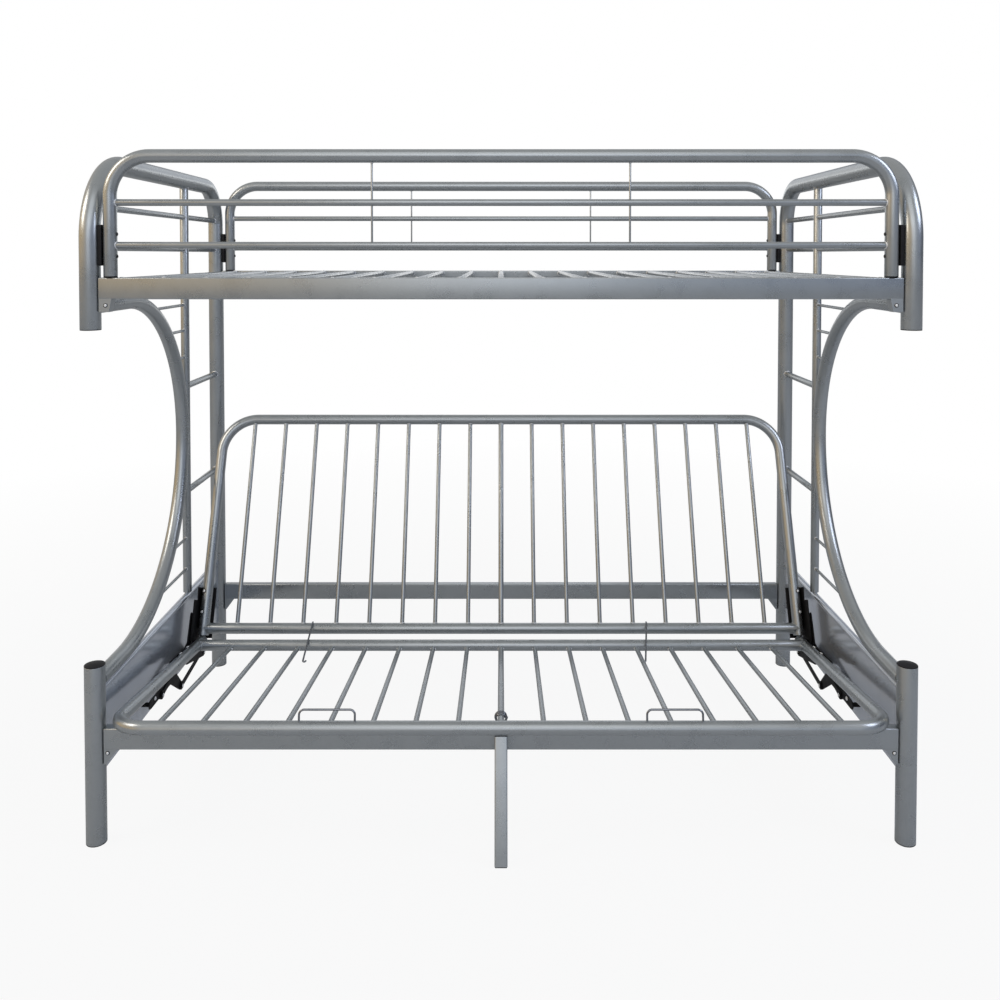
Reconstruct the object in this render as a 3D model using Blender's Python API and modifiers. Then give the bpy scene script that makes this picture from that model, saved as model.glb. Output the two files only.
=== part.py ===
"""Futon bunk bed: a tubular steel bunk over a folding futon frame.

Run with blender --background --python part.py. Lengths are metres and +Z is up.
The width runs along X. Depths are measured from the plane of the front posts, +Y to
the rear, under an empty that centres the bed's footprint on the world origin.
"""

import math

import bmesh
import bpy
from mathutils import Matrix, Vector

# Whole bed
LENGTH = 1.9812
END_DEPTH = 1.0414
HEIGHT = 1.6510
GAP = 0.0003
OVERRUN = 0.005

# End frames
POST_RADIUS = 0.0240
POST_WALL = 0.0020
REAR_BEND_RADIUS = 0.125
FRONT_BEND_RADIUS = 0.190
UPPER_POST_DROP = 0.424
LOWER_POST_TOP = 0.427
PLUG_LIP = 0.0015
PLUG_STEM = 0.014
CAP_DOME = 0.0035
DOME_STEPS = 3

# C-shaped end tubes
C_RADIUS = 0.0190
C_TOP_DROP = 0.370
C_LOW_HEIGHT = 0.384
C_TOP_BEND_SHARE = 0.4615
C_LOW_LEAD = 0.1327

# End ladders
STILE_RADIUS = 0.0127
RUNG_RADIUS = 0.0095
RUNG_HEIGHT_SHARES = (0.6867, 0.3266)
END_BAR_RADIUS = 0.0080
END_BAR_DROPS = (0.110, 0.207)
SPINDLE_RADIUS = 0.0043
SPINDLE_HEIGHT_SHARES = (0.9654, 0.8785, 0.7871, 0.1661, 0.0613)

# Side panels
PANEL_THICKNESS = 0.0020
PANEL_SETBACK = 0.0056
PANEL_BOTTOM = 0.157
PANEL_RAIL_RADIUS = 0.0095

# Rails
RAIL_THICKNESS = 0.0254
RAIL_HEIGHT = 0.0508
UPPER_RAIL_DROP = 0.3020
UPPER_TAB_WIDTH = 0.030
UPPER_TAB_DROP = 0.030
LOWER_RAIL_TOP = 0.2794
GUSSET_REACH = 0.0310
GUSSET_DROP = 0.0356
GUSSET_TOE = 0.0047

# Upper deck
DECK_SLATS_EACH_SIDE = 9
DECK_LAST_SLAT_INSET = 0.0341
DECK_SLAT_RADIUS = 0.0080
RUNNER_THICKNESS = 0.0030
RUNNER_HEIGHT = 0.0250
RUNNER_END_CLEARANCE = 0.0100

# Guard rails
GUARD_RADIUS = 0.0159
GUARD_WALL = 0.0015
GUARD_TOP_DROP = 0.0010
GUARD_BEND_RADIUS = 0.094
GUARD_BAR_RADIUS = 0.0080
GUARD_BAR_RISES = (0.176, 0.076)
GUARD_WIRE_RADIUS = 0.0025
GUARD_WIRE_SHARE = 0.33
SPACER_THICKNESS = 0.0081
SPACER_DEPTH = 0.0260
SPACER_RISE = 0.0280
SPACER_HEIGHT = 0.0960
GUARD_PLUG_LIP = 0.0024
GUARD_PLUG_STEM = 0.020

# Centre leg
LEG_WIDTH = 0.030
LEG_DEPTH = 0.020
LEG_WALL = 0.0020
LEG_TOP = 0.269
LEG_LEAN = math.radians(13.9)
LEG_PLUG_LIP = 0.0042
LEG_PLUG_STEM = 0.015
LEG_SHOE_HEIGHT = 0.0020

# Futon frames
FUTON_TUBE_RADIUS = 0.0160
SLAT_GAPS_EACH_SIDE = 9
SLAT_RADIUS = 0.00635
CENTRE_SLAT_RADIUS = 0.0080
SEAT_TILT = math.radians(6.47)
BACK_ANGLE = math.radians(67.82)
HINGE_DEPTH = 0.6474
HINGE_DROP = 0.0120
SEAT_REACH = 0.7100
SEAT_REAR_TUBE = 0.0567
SEAT_TAIL = 0.0120
SEAT_CORNER = 0.080
SEAT_SLAT_DROP = 0.0050
BACK_REACH = 0.6934
BACK_LOW_TUBE = 0.0444
BACK_TAIL = 0.0240
BACK_CORNER = 0.110
BED_REST_CLEARANCE = 0.0005

# Mattress stops, hooks and ring
STOP_WIRE_RADIUS = 0.0025
STOP_WIDTH = 0.130
STOP_HEIGHT = 0.0250
STOP_CORNER = 0.0120
STOP_PITCHES_OUT = 4
HOOK_WIRE_RADIUS = 0.0026
HOOK_TOP_SHARES = {"left": -0.6333, "right": 0.4883}
HOOK_LOW_SHARES = {"left": -0.6360, "right": 0.4645}
HOOK_HIGH_END = math.radians(92)
HOOK_OVERHANG = 0.0755
HOOK_CURL_RADIUS = 0.0042
RING_WIRE_RADIUS = 0.0015
RING_TURNS = 3
RING_POINTS_PER_TURN = 24
RING_OUTER_RADIUS = 0.0170
RING_WIRE_GAP = 0.0007
RING_SETBACK = 0.0600
RING_GAP_TURN_SHARE = 2 / 3

# Fold mechanism, as depth from the front posts and height
BASE_PIVOT = (0.516, 0.143)
SEAT_PIVOT = (0.700, 0.165)
FRONT_BASE_DEPTH = 0.3565
FRONT_SEAT_PIVOT = (0.540, 0.222)
PLATE_THICKNESS = 0.0030
LINK_HALF_WIDTH = 0.0075
PIVOT_BOSS_RADIUS = 0.0120
HINGE_BOSS_RADIUS = 0.0150
PIN_RADIUS = 0.0040
PIN_CLEARANCE = 0.0003
PIN_HEAD_RADIUS = 0.0075
PIN_HEAD_HEIGHT = 0.0025
STANDOFF_RADIUS = 0.0060
STANDOFF_LENGTH = 0.0195
BASE_ARM_END = (0.280, 0.198)
BASE_ARM_RADIUS = 0.0120
BASE_ARM_BULGE = (0.372, 0.196)
BASE_BULGE_RADIUS = 0.0160
BASE_WEB_REAR = (0.462, 0.196)
BASE_WEB_FRONT = (0.418, 0.201)
BASE_WEB_RADIUS = 0.0060
STANDOFF_PLACES = (BASE_ARM_END, BASE_ARM_BULGE, BASE_WEB_REAR)
BASE_BAR_RADIUS = 0.0080
BASE_HORN_FOOT = (0.585, 0.236)
BASE_HORN_REAR = (0.640, 0.236)
BASE_HORN_TIP = (0.6205, 0.3107)
SEAT_BOLT_REACHES = (0.129, 0.190)
SEAT_NOSE = (-0.246, 0.017)
SEAT_NOSE_RADIUS = 0.0050
BRACKET_EDGE_RADIUS = 0.0110
BRACKET_SKIRT = (0.545, 0.203)
BACK_CORNER_RADIUS = 0.0030
BACK_STRIP_FRONT = (0.161, 0.038)
BACK_STEP_FRONT = (0.123, 0.067)
BACK_STEP_LOW = (0.012, 0.062)
BACK_FLANGE_LAP = 0.0060
BACK_FLANGE_LOW_END = 0.0160
BACK_FLANGE_NECK = 0.0450

# Facets
THICK_RESOLUTION = 4
TUBE_RESOLUTION = 3
WIRE_RESOLUTION = 2
RING_RESOLUTION = 1
POST_SIDES = 12
ROD_SIDES = 10
SLAT_SIDES = 8
ARC_STEPS = 6
WIDE_ARC_STEPS = 9
OUTLINE_STEPS = 12
MERGE_DISTANCE = 0.00001
SHARP_ANGLE = math.radians(40)
QUARTER_TURN = math.pi / 2
MM_PER_METRE = 1000

# Places that follow from the sizes
POST_X = LENGTH / 2 - POST_RADIUS
REAR_DEPTH = END_DEPTH - 2 * POST_RADIUS
TOP_TUBE_HEIGHT = HEIGHT - POST_RADIUS
POST_FACE = POST_RADIUS + GAP
FOOT_HEIGHT = PLUG_LIP + GAP
UPPER_POST_BOTTOM = HEIGHT - UPPER_POST_DROP
RAIL_END = POST_X - POST_FACE
UPPER_RAIL_TOP = HEIGHT - UPPER_RAIL_DROP

# C tubes, whose two bends share their height, and the ladders behind them
C_TOP_HEIGHT = HEIGHT - C_TOP_DROP
C_HEIGHT = C_TOP_HEIGHT - C_LOW_HEIGHT
C_TOP_BEND = C_HEIGHT * C_TOP_BEND_SHARE
C_LOW_BEND = C_HEIGHT - C_TOP_BEND
C_REACH = POST_FACE + C_LOW_LEAD + C_LOW_BEND
STILE_DEPTH = C_REACH + C_RADIUS + GAP + STILE_RADIUS
PANEL_RAIL_HEIGHT = C_LOW_HEIGHT - C_RADIUS - GAP - PANEL_RAIL_RADIUS
PANEL_X = POST_X - PANEL_SETBACK
PANEL_FACE = PANEL_X - PANEL_THICKNESS / 2 - GAP

# Guard rails inside their spacers
SPACER_X = RAIL_END - SPACER_THICKNESS / 2
SPACER_BOTTOM = UPPER_RAIL_TOP + SPACER_RISE
GUARD_X = RAIL_END - SPACER_THICKNESS - GAP - GUARD_RADIUS
GUARD_TOP = HEIGHT - GUARD_TOP_DROP

# Futon frame's plates, counted inwards from the side panel
PLATE_PITCH = PLATE_THICKNESS + GAP
BASE_PLATE_X = PANEL_FACE - STANDOFF_LENGTH - PLATE_THICKNESS / 2
LINK_PLATE_X = BASE_PLATE_X - PLATE_PITCH
BACK_PLATE_X = LINK_PLATE_X - PLATE_PITCH
SEAT_PLATE_X = BACK_PLATE_X - PLATE_PITCH
FUTON_SIDE_X = SEAT_PLATE_X - PLATE_THICKNESS / 2 - GAP - FUTON_TUBE_RADIUS
SLAT_PITCH = FUTON_SIDE_X / SLAT_GAPS_EACH_SIDE

# Centre leg's place in front of the lower front rail
LEG_PLUG_OVERHANG = (GAP + LEG_PLUG_LIP) * math.sin(LEG_LEAN)
LEG_HALF_DEPTH_ACROSS = LEG_DEPTH / 2 * math.cos(LEG_LEAN)
LEG_TOP_DEPTH = -(RAIL_THICKNESS / 2 + GAP + LEG_HALF_DEPTH_ACROSS + LEG_PLUG_OVERHANG)
LEG_FOOT_DEPTH = LEG_TOP_DEPTH - LEG_TOP * math.tan(LEG_LEAN)
LEG_FOOT_HALF_DEPTH = LEG_DEPTH / 2 / math.cos(LEG_LEAN)

# Footprint's middle, which the world origin stands on
FRONT_EDGE = LEG_FOOT_DEPTH - LEG_FOOT_HALF_DEPTH
REAR_EDGE = REAR_DEPTH + POST_RADIUS
MIDDLE_DEPTH = (FRONT_EDGE + REAR_EDGE) / 2

SILVER = ("silver_paint", (0.27, 0.29, 0.31), 0.35, 0.85)
GLOSS_PANEL = ("gloss_panel", (0.22, 0.24, 0.26), 0.15, 0.85)
BLACK_STEEL = ("black_steel", (0.012, 0.012, 0.014), 0.40, 0.30)
BLACK_PLASTIC = ("black_plastic", (0.012, 0.012, 0.014), 0.50, 0.0)
BRIGHT_WIRE = ("bright_wire", (0.45, 0.46, 0.48), 0.28, 1.0)

SIDES = {"left": -1, "right": 1}


def rotated(point, angle):
    """Return a (depth, height) point turned about the origin, +Y towards +Z."""
    depth, height = point
    sine = math.sin(angle)
    cosine = math.cos(angle)
    return (depth * cosine - height * sine, depth * sine + height * cosine)


def minus(first, second):
    """Return the difference of two (depth, height) points."""
    return (first[0] - second[0], first[1] - second[1])


def plus(first, second):
    """Return the sum of two (depth, height) points."""
    return (first[0] + second[0], first[1] + second[1])


def direction_angle(vector):
    """Return the angle of a (depth, height) vector from +Y towards +Z."""
    return math.atan2(vector[1], vector[0])


class FoldGeometry:
    """Where the futon's pivots lie as a sofa and as a bed, and how far each turns."""

    def __init__(self):
        self.hinge = (HINGE_DEPTH, self._hinge_height())
        self.bed_hinge_height = (
            LOWER_RAIL_TOP + BED_REST_CLEARANCE + FUTON_TUBE_RADIUS - HINGE_DROP
        )
        seat_arm = minus(SEAT_PIVOT, BASE_PIVOT)
        self.rocker_length = math.hypot(*seat_arm)
        bed_offset = rotated(minus(SEAT_PIVOT, self.hinge), SEAT_TILT)
        rise = self.bed_hinge_height + bed_offset[1] - BASE_PIVOT[1]
        run = -math.sqrt(self.rocker_length**2 - rise**2)
        self.bed_seat_pivot = plus(BASE_PIVOT, (run, rise))
        self.bed_hinge = minus(self.bed_seat_pivot, bed_offset)
        self.rocker_turn = direction_angle((run, rise)) - direction_angle(seat_arm)
        self.front_bed_pivot = plus(
            self.bed_seat_pivot, rotated(minus(FRONT_SEAT_PIVOT, SEAT_PIVOT), SEAT_TILT)
        )
        self.front_base = (FRONT_BASE_DEPTH, self._front_base_height())
        self.front_turn = direction_angle(
            minus(self.front_bed_pivot, self.front_base)
        ) - direction_angle(minus(FRONT_SEAT_PIVOT, self.front_base))

    def _hinge_height(self):
        """Height that lays the tilted seat's side tubes on the front rail's rear edge."""
        below_tube = HINGE_DROP - FUTON_TUBE_RADIUS - GAP
        edge_to_hinge = HINGE_DEPTH - RAIL_THICKNESS / 2
        fall = (below_tube + edge_to_hinge * math.sin(SEAT_TILT)) / math.cos(SEAT_TILT)
        return LOWER_RAIL_TOP - fall

    def _front_base_height(self):
        """Height where the front link is as long in the sofa pose as in the bed pose."""
        start_y, start_z = FRONT_SEAT_PIVOT
        end_y, end_z = self.front_bed_pivot
        squares = start_y**2 - end_y**2 + start_z**2 - end_z**2
        return (squares - 2 * FRONT_BASE_DEPTH * (start_y - end_y)) / (2 * (start_z - end_z))


FOLD = FoldGeometry()


def new_collection(name):
    """Add an empty collection to the scene."""
    collection = bpy.data.collections.new(name)
    bpy.context.scene.collection.children.link(collection)
    return collection


def clear_scene():
    """Remove every object that the start-up file holds."""
    for scene_object in list(bpy.data.objects):
        bpy.data.objects.remove(scene_object, do_unlink=True)


clear_scene()
PARTS = new_collection("futon_bunk_bed")
CUTTERS = new_collection("cutters")


def new_empty(name, location, parent=None, angle=0.0):
    """Add an empty at a pivot or reference point, turned about X by an angle."""
    empty = bpy.data.objects.new(name, None)
    empty.location = location
    empty.rotation_euler = (angle, 0.0, 0.0)
    empty.parent = parent
    PARTS.objects.link(empty)
    return empty


ROOT = new_empty("bed_reference", (0.0, -MIDDLE_DEPTH, 0.0))


def new_material(name, finish):
    """Make one part's own Principled material from a finish."""
    label, colour, roughness, metallic = finish
    material = bpy.data.materials.new(f"{name}_{label}")
    material.use_nodes = True
    shader = material.node_tree.nodes["Principled BSDF"]
    shader.inputs["Base Color"].default_value = (*colour, 1.0)
    shader.inputs["Roughness"].default_value = roughness
    shader.inputs["Metallic"].default_value = metallic
    return material


def add_part(name, data, finish, parent=None):
    """Link a mesh or curve as a named part, or as a cutter where it has no finish."""
    part = bpy.data.objects.new(name, data)
    part.parent = parent or ROOT
    if finish is None:
        CUTTERS.objects.link(part)
        part.hide_render = True
        part.display_type = "WIRE"
    else:
        PARTS.objects.link(part)
        data.materials.append(new_material(name, finish))
    return part


def add_boolean(part, operand, operation):
    """Join or cut a mesh part with another closed mesh."""
    modifier = part.modifiers.new(f"{operation.lower()}_{operand.name}", "BOOLEAN")
    modifier.operation = operation
    modifier.solver = "EXACT"
    modifier.object = operand


def shade(mesh):
    """Shade a mesh smooth, with its real edges left sharp."""
    mesh.shade_smooth()
    mesh.set_sharp_from_angle(angle=SHARP_ANGLE)


def mesh_from_curve(curve_object, finish):
    """Replace a curve object by a mesh of it with welded caps."""
    name = curve_object.name
    bpy.context.view_layer.update()
    evaluated = curve_object.evaluated_get(bpy.context.evaluated_depsgraph_get())
    mesh = bpy.data.meshes.new_from_object(evaluated)
    mesh.materials.clear()
    work = bmesh.new()
    work.from_mesh(mesh)
    bmesh.ops.remove_doubles(work, verts=work.verts, dist=MERGE_DISTANCE)
    bmesh.ops.recalc_face_normals(work, faces=work.faces)
    work.to_mesh(mesh)
    work.free()
    shade(mesh)
    parent = curve_object.parent
    place = curve_object.matrix_world.copy()
    bpy.data.objects.remove(curve_object, do_unlink=True)
    part = add_part(name, mesh, finish, parent)
    part.matrix_world = place
    return part


def rounded_path(corners, radii, steps=ARC_STEPS):
    """Return a polyline through corners, with an arc of the given radius at each bend."""
    places = [Vector(corner) for corner in corners]
    path = [places[0]]
    for before, corner, after, radius in zip(places, places[1:], places[2:], radii):
        arriving = (corner - before).normalized()
        leaving = (after - corner).normalized()
        turn = arriving.angle(leaving)
        inward = (leaving - arriving * arriving.dot(leaving)).normalized()
        centre = corner - arriving * radius * math.tan(turn / 2) + inward * radius
        for step in range(steps + 1):
            angle = turn * step / steps
            point = centre - inward * radius * math.cos(angle) + arriving * radius * math.sin(angle)
            if (point - path[-1]).length > MERGE_DISTANCE:
                path.append(point)
    if (places[-1] - path[-1]).length > MERGE_DISTANCE:
        path.append(places[-1])
    return path


def tube(name, path, radius, finish, parent=None, resolution=TUBE_RESOLUTION):
    """Sweep a round section along a path, as a curve with filled caps."""
    curve = bpy.data.curves.new(name, "CURVE")
    curve.dimensions = "3D"
    curve.bevel_depth = radius
    curve.bevel_resolution = resolution
    curve.use_fill_caps = True
    spline = curve.splines.new("POLY")
    spline.points.add(len(path) - 1)
    for point, place in zip(spline.points, path):
        point.co = (*place, 1.0)
    return add_part(name, curve, finish, parent)


def mesh_tube(name, path, radius, finish, parent=None, resolution=TUBE_RESOLUTION):
    """Make a tube as a mesh, for a part that is cut or joined."""
    return mesh_from_curve(tube(name, path, radius, None, parent, resolution), finish)


def add_rod(work, start, end, radius, sides, flats=True):
    """Add a closed straight rod to a bmesh, with flats or corners towards the axes."""
    axis = Vector(end) - Vector(start)
    turn = axis.to_track_quat("Z", "Y").to_matrix().to_4x4()
    roll = Matrix.Rotation(math.pi / sides if flats else 0.0, 4, "Z")
    middle = Matrix.Translation((Vector(start) + Vector(end)) / 2)
    bmesh.ops.create_cone(
        work,
        cap_ends=True,
        segments=sides,
        radius1=radius,
        radius2=radius,
        depth=axis.length,
        matrix=middle @ turn @ roll,
    )


def rods(name, pieces, finish, parent=None, sides=ROD_SIDES, flats=True):
    """Make one mesh of straight rods, each given as (start, end, radius)."""
    work = bmesh.new()
    for start, end, radius in pieces:
        add_rod(work, start, end, radius, sides, flats)
    return part_from_bmesh(name, work, finish, parent)


def part_from_bmesh(name, work, finish, parent=None):
    """Turn a bmesh into a named part."""
    mesh = bpy.data.meshes.new(name)
    bmesh.ops.recalc_face_normals(work, faces=work.faces)
    work.to_mesh(mesh)
    work.free()
    shade(mesh)
    return add_part(name, mesh, finish, parent)


def boxes(name, corner_pairs, finish, parent=None):
    """Make one mesh of boxes, each given by its lowest and highest corners."""
    work = bmesh.new()
    for low, high in corner_pairs:
        size = Vector(high) - Vector(low)
        middle = (Vector(high) + Vector(low)) / 2
        place = Matrix.Translation(middle) @ Matrix.Diagonal((*size, 1.0))
        bmesh.ops.create_cube(work, size=1.0, matrix=place)
    return part_from_bmesh(name, work, finish, parent)


def turned(name, profile, finish, parent=None, sides=POST_SIDES):
    """Turn a closed profile of (radius, height) points about Z with a Screw modifier."""
    mesh = bpy.data.meshes.new(name)
    points = [(radius, 0.0, height) for radius, height in profile]
    edges = [(index, index + 1) for index in range(len(points) - 1)]
    mesh.from_pydata(points, edges, [])
    part = add_part(name, mesh, finish, parent)
    screw = part.modifiers.new("turn", "SCREW")
    screw.angle = 2 * math.pi
    screw.steps = sides
    screw.render_steps = sides
    screw.use_merge_vertices = True
    screw.merge_threshold = MERGE_DISTANCE
    screw.use_smooth_shade = False
    return part


def plug_profile(stem_radius, stem_length, lip_radius, lip_height, dome):
    """Return the half section of a plug whose stem points up and lip lies at zero."""
    angles = [QUARTER_TURN * step / DOME_STEPS for step in range(1, DOME_STEPS)]
    crown = [(lip_radius * math.cos(angle), -dome * math.sin(angle)) for angle in angles]
    profile = [
        (0.0, lip_height + stem_length),
        (stem_radius, lip_height + stem_length),
        (stem_radius, lip_height),
        (lip_radius, lip_height),
        (lip_radius, 0.0),
    ]
    if dome:
        return profile + crown + [(0.0, -dome)]
    return profile + [(0.0, 0.0)]


def tube_plug(name, place, tube_radius, wall, lip, stem, upside_down=False, dome=0.0):
    """Make a black plug for a tube's open end, its lip just clear of the end face."""
    profile = plug_profile(tube_radius - wall - GAP, stem, tube_radius, lip, dome)
    plug = turned(name, profile, BLACK_PLASTIC)
    plug.location = place
    if upside_down:
        plug.rotation_euler = (math.pi, 0.0, 0.0)
    return plug


def cut_socket(part, end, into, tube_radius, wall, stem):
    """Cut the round seat of a plug into a tube's end, along a unit direction."""
    start = Vector(end) - Vector(into) * OVERRUN
    finish = Vector(end) + Vector(into) * (stem + GAP)
    name = f"{part.name}_socket_{len(part.modifiers)}"
    bore = [(start, finish, tube_radius - wall)]
    cutter = rods(name, bore, None, sides=POST_SIDES, flats=False)
    add_boolean(part, cutter, "DIFFERENCE")


def circle_points(centre, radius):
    """Return points round a circle in the (depth, height) plane."""
    return [
        plus(centre, rotated((radius, 0.0), 2 * math.pi * step / OUTLINE_STEPS))
        for step in range(OUTLINE_STEPS)
    ]


def hull_outline(circles):
    """Return the outline of a belt stretched round circles, given as (centre, radius)."""
    points = sorted(point for centre, radius in circles for point in circle_points(centre, radius))

    def half_hull(ordered):
        chain = []
        for point in ordered:
            while len(chain) > 1:
                first = minus(chain[-1], chain[-2])
                second = minus(point, chain[-1])
                if first[0] * second[1] - first[1] * second[0] > MERGE_DISTANCE**2:
                    break
                chain.pop()
            chain.append(point)
        return chain[:-1]

    return half_hull(points) + half_hull(points[::-1])


def plate(name, outline, x, thickness, finish, parent=None):
    """Extrude a (depth, height) outline about the plane at x into a flat plate."""
    curve = bpy.data.curves.new(name, "CURVE")
    curve.dimensions = "2D"
    curve.fill_mode = "BOTH"
    curve.extrude = thickness / 2
    spline = curve.splines.new("POLY")
    spline.points.add(len(outline) - 1)
    for point, (depth, height) in zip(spline.points, outline):
        point.co = (depth, height, 0.0, 1.0)
    spline.use_cyclic_u = True
    part = add_part(name, curve, None, parent)
    part.location = (x, 0.0, 0.0)
    part.rotation_euler = (QUARTER_TURN, 0.0, QUARTER_TURN)
    return mesh_from_curve(part, finish)


def joined_plate(name, outlines, x, finish, parent=None):
    """Make a plate whose outline is several belts joined."""
    base = plate(name, outlines[0], x, PLATE_THICKNESS, finish, parent)
    for number, outline in enumerate(outlines[1:]):
        web = plate(f"{name}_web_{number}", outline, x, PLATE_THICKNESS, None, parent)
        add_boolean(base, web, "UNION")
    return base


def add_pin(part, name, place, from_x, to_x, head_side, parent=None):
    """Join a pin with a round head to a plate, along X between two planes."""
    depth, height = place
    head_x = to_x + head_side * PIN_HEAD_HEIGHT
    shank = ((from_x, depth, height), (to_x + head_side * GAP, depth, height), PIN_RADIUS)
    head = ((to_x, depth, height), (head_x, depth, height), PIN_HEAD_RADIUS)
    for label, piece in (("shank", shank), ("head", head)):
        operand = rods(f"{name}_{label}", [piece], None, parent)
        add_boolean(part, operand, "UNION")


def cut_pin_hole(part, name, place, x, parent=None):
    """Cut a running hole for a pin through a plate at x."""
    depth, height = place
    reach = PLATE_THICKNESS
    ends = ((x - reach, depth, height), (x + reach, depth, height))
    cutter = rods(name, [(*ends, PIN_RADIUS + PIN_CLEARANCE)], None, parent)
    add_boolean(part, cutter, "DIFFERENCE")


def build_end_frame(side, sign):
    """One bent tube: rear post, top of the end and upper front post, with its plugs."""
    x = sign * POST_X
    corners = [
        (x, REAR_DEPTH, FOOT_HEIGHT),
        (x, REAR_DEPTH, TOP_TUBE_HEIGHT),
        (x, 0.0, TOP_TUBE_HEIGHT),
        (x, 0.0, UPPER_POST_BOTTOM),
    ]
    path = rounded_path(corners, (REAR_BEND_RADIUS, FRONT_BEND_RADIUS))
    frame = mesh_tube(f"end_frame_{side}", path, POST_RADIUS, SILVER, resolution=THICK_RESOLUTION)
    for end in (corners[0], corners[-1]):
        cut_socket(frame, end, (0.0, 0.0, 1.0), POST_RADIUS, POST_WALL, PLUG_STEM)
    plug_sizes = (POST_RADIUS, POST_WALL, PLUG_LIP, PLUG_STEM)
    tube_plug(f"foot_plug_rear_{side}", (x, REAR_DEPTH, 0.0), *plug_sizes)
    plug_height = UPPER_POST_BOTTOM - GAP - PLUG_LIP
    tube_plug(f"upper_post_plug_{side}", (x, 0.0, plug_height), *plug_sizes)


def build_front_post(side, sign):
    """The short lower front post, with its foot plug and its domed cap."""
    x = sign * POST_X
    ends = ((x, 0.0, FOOT_HEIGHT), (x, 0.0, LOWER_POST_TOP))
    post = mesh_tube(f"front_post_{side}", ends, POST_RADIUS, SILVER, resolution=THICK_RESOLUTION)
    cut_socket(post, ends[0], (0.0, 0.0, 1.0), POST_RADIUS, POST_WALL, PLUG_STEM)
    cut_socket(post, ends[1], (0.0, 0.0, -1.0), POST_RADIUS, POST_WALL, PLUG_STEM)
    plug_sizes = (POST_RADIUS, POST_WALL, PLUG_LIP, PLUG_STEM)
    tube_plug(f"foot_plug_front_{side}", (x, 0.0, 0.0), *plug_sizes)
    cap_height = LOWER_POST_TOP + GAP + PLUG_LIP
    cap_place = (x, 0.0, cap_height)
    tube_plug(f"post_cap_{side}", cap_place, *plug_sizes, upside_down=True, dome=CAP_DOME)


def build_c_tube(side, sign):
    """The C-shaped tube that sweeps back from the front posts and holds the end stiff."""
    x = sign * POST_X
    corners = [
        (x, POST_FACE, C_TOP_HEIGHT),
        (x, C_REACH, C_TOP_HEIGHT),
        (x, C_REACH, C_LOW_HEIGHT),
        (x, POST_FACE, C_LOW_HEIGHT),
    ]
    path = rounded_path(corners, (C_TOP_BEND, C_LOW_BEND), WIDE_ARC_STEPS)
    tube(f"c_tube_{side}", path, C_RADIUS, SILVER)


def c_tube_face(height):
    """Depth of the C tube's outer face beside a spindle at a height."""
    bend_join = C_LOW_HEIGHT + C_LOW_BEND
    bend = C_TOP_BEND if height > bend_join else C_LOW_BEND
    rise = abs(height - bend_join) - SPINDLE_RADIUS
    outer = bend + C_RADIUS + GAP
    return C_REACH - bend + math.sqrt(outer**2 - rise**2)


def frame_face(height, bend, half_width):
    """Distance from a post's centre line to the bent frame's inner face beside a bar."""
    rise = height + half_width - (TOP_TUBE_HEIGHT - bend)
    if rise <= 0.0:
        return POST_FACE
    return bend - math.sqrt((bend - POST_FACE) ** 2 - rise**2)


def build_ladder(side, sign):
    """A stile with the rungs, spindles and guard bars that are welded across it."""
    x = sign * POST_X
    rear_face = REAR_DEPTH - POST_FACE
    top = TOP_TUBE_HEIGHT - POST_FACE
    bottom = PANEL_RAIL_HEIGHT + PANEL_RAIL_RADIUS + GAP
    stile = [((x, STILE_DEPTH, bottom), (x, STILE_DEPTH, top), STILE_RADIUS)]
    ladder = rods(f"end_ladder_{side}", stile, SILVER)
    bars = []
    for share in RUNG_HEIGHT_SHARES:
        z = C_LOW_HEIGHT + C_HEIGHT * share
        bars.append(((x, STILE_DEPTH, z), (x, rear_face, z), RUNG_RADIUS))
    for drop in END_BAR_DROPS:
        z = TOP_TUBE_HEIGHT - drop
        front = frame_face(z, FRONT_BEND_RADIUS, END_BAR_RADIUS)
        rear = REAR_DEPTH - frame_face(z, REAR_BEND_RADIUS, END_BAR_RADIUS)
        bars.append(((x, front, z), (x, rear, z), END_BAR_RADIUS))
    for share in SPINDLE_HEIGHT_SHARES:
        z = C_LOW_HEIGHT + C_HEIGHT * share
        bars.append(((x, c_tube_face(z), z), (x, STILE_DEPTH, z), SPINDLE_RADIUS))
    operand = rods(f"end_ladder_bars_{side}", bars, None, sides=SLAT_SIDES)
    add_boolean(ladder, operand, "UNION")


def build_side_panel(side, sign):
    """The sheet that closes the lower end, with the tube welded along its top."""
    x = sign * POST_X
    sheet_x = sign * PANEL_X
    front = POST_FACE
    rear = REAR_DEPTH - POST_FACE
    rail = [((x, front, PANEL_RAIL_HEIGHT), (x, rear, PANEL_RAIL_HEIGHT), PANEL_RAIL_RADIUS)]
    panel = rods(f"side_panel_{side}", rail, GLOSS_PANEL)
    half_thickness = PANEL_THICKNESS / 2
    low = (sheet_x - half_thickness, front + GAP, PANEL_BOTTOM)
    high = (sheet_x + half_thickness, rear - GAP, PANEL_RAIL_HEIGHT)
    sheet = boxes(f"side_panel_sheet_{side}", [(low, high)], None)
    add_boolean(panel, sheet, "UNION")


def rail_from_outline(name, outline, depth):
    """Extrude a rail's front outline, given as (x, height), about a depth."""
    curve = bpy.data.curves.new(name, "CURVE")
    curve.dimensions = "2D"
    curve.fill_mode = "BOTH"
    curve.extrude = RAIL_THICKNESS / 2
    spline = curve.splines.new("POLY")
    spline.points.add(len(outline) - 1)
    for point, (x, height) in zip(spline.points, outline):
        point.co = (x, height, 0.0, 1.0)
    spline.use_cyclic_u = True
    rail = add_part(name, curve, None)
    rail.location = (0.0, depth, 0.0)
    rail.rotation_euler = (QUARTER_TURN, 0.0, 0.0)
    return mesh_from_curve(rail, SILVER)


def mirrored_outline(right_half):
    """Complete an outline from its right half, given from the top down."""
    return right_half + [(-x, height) for x, height in reversed(right_half)]


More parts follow.
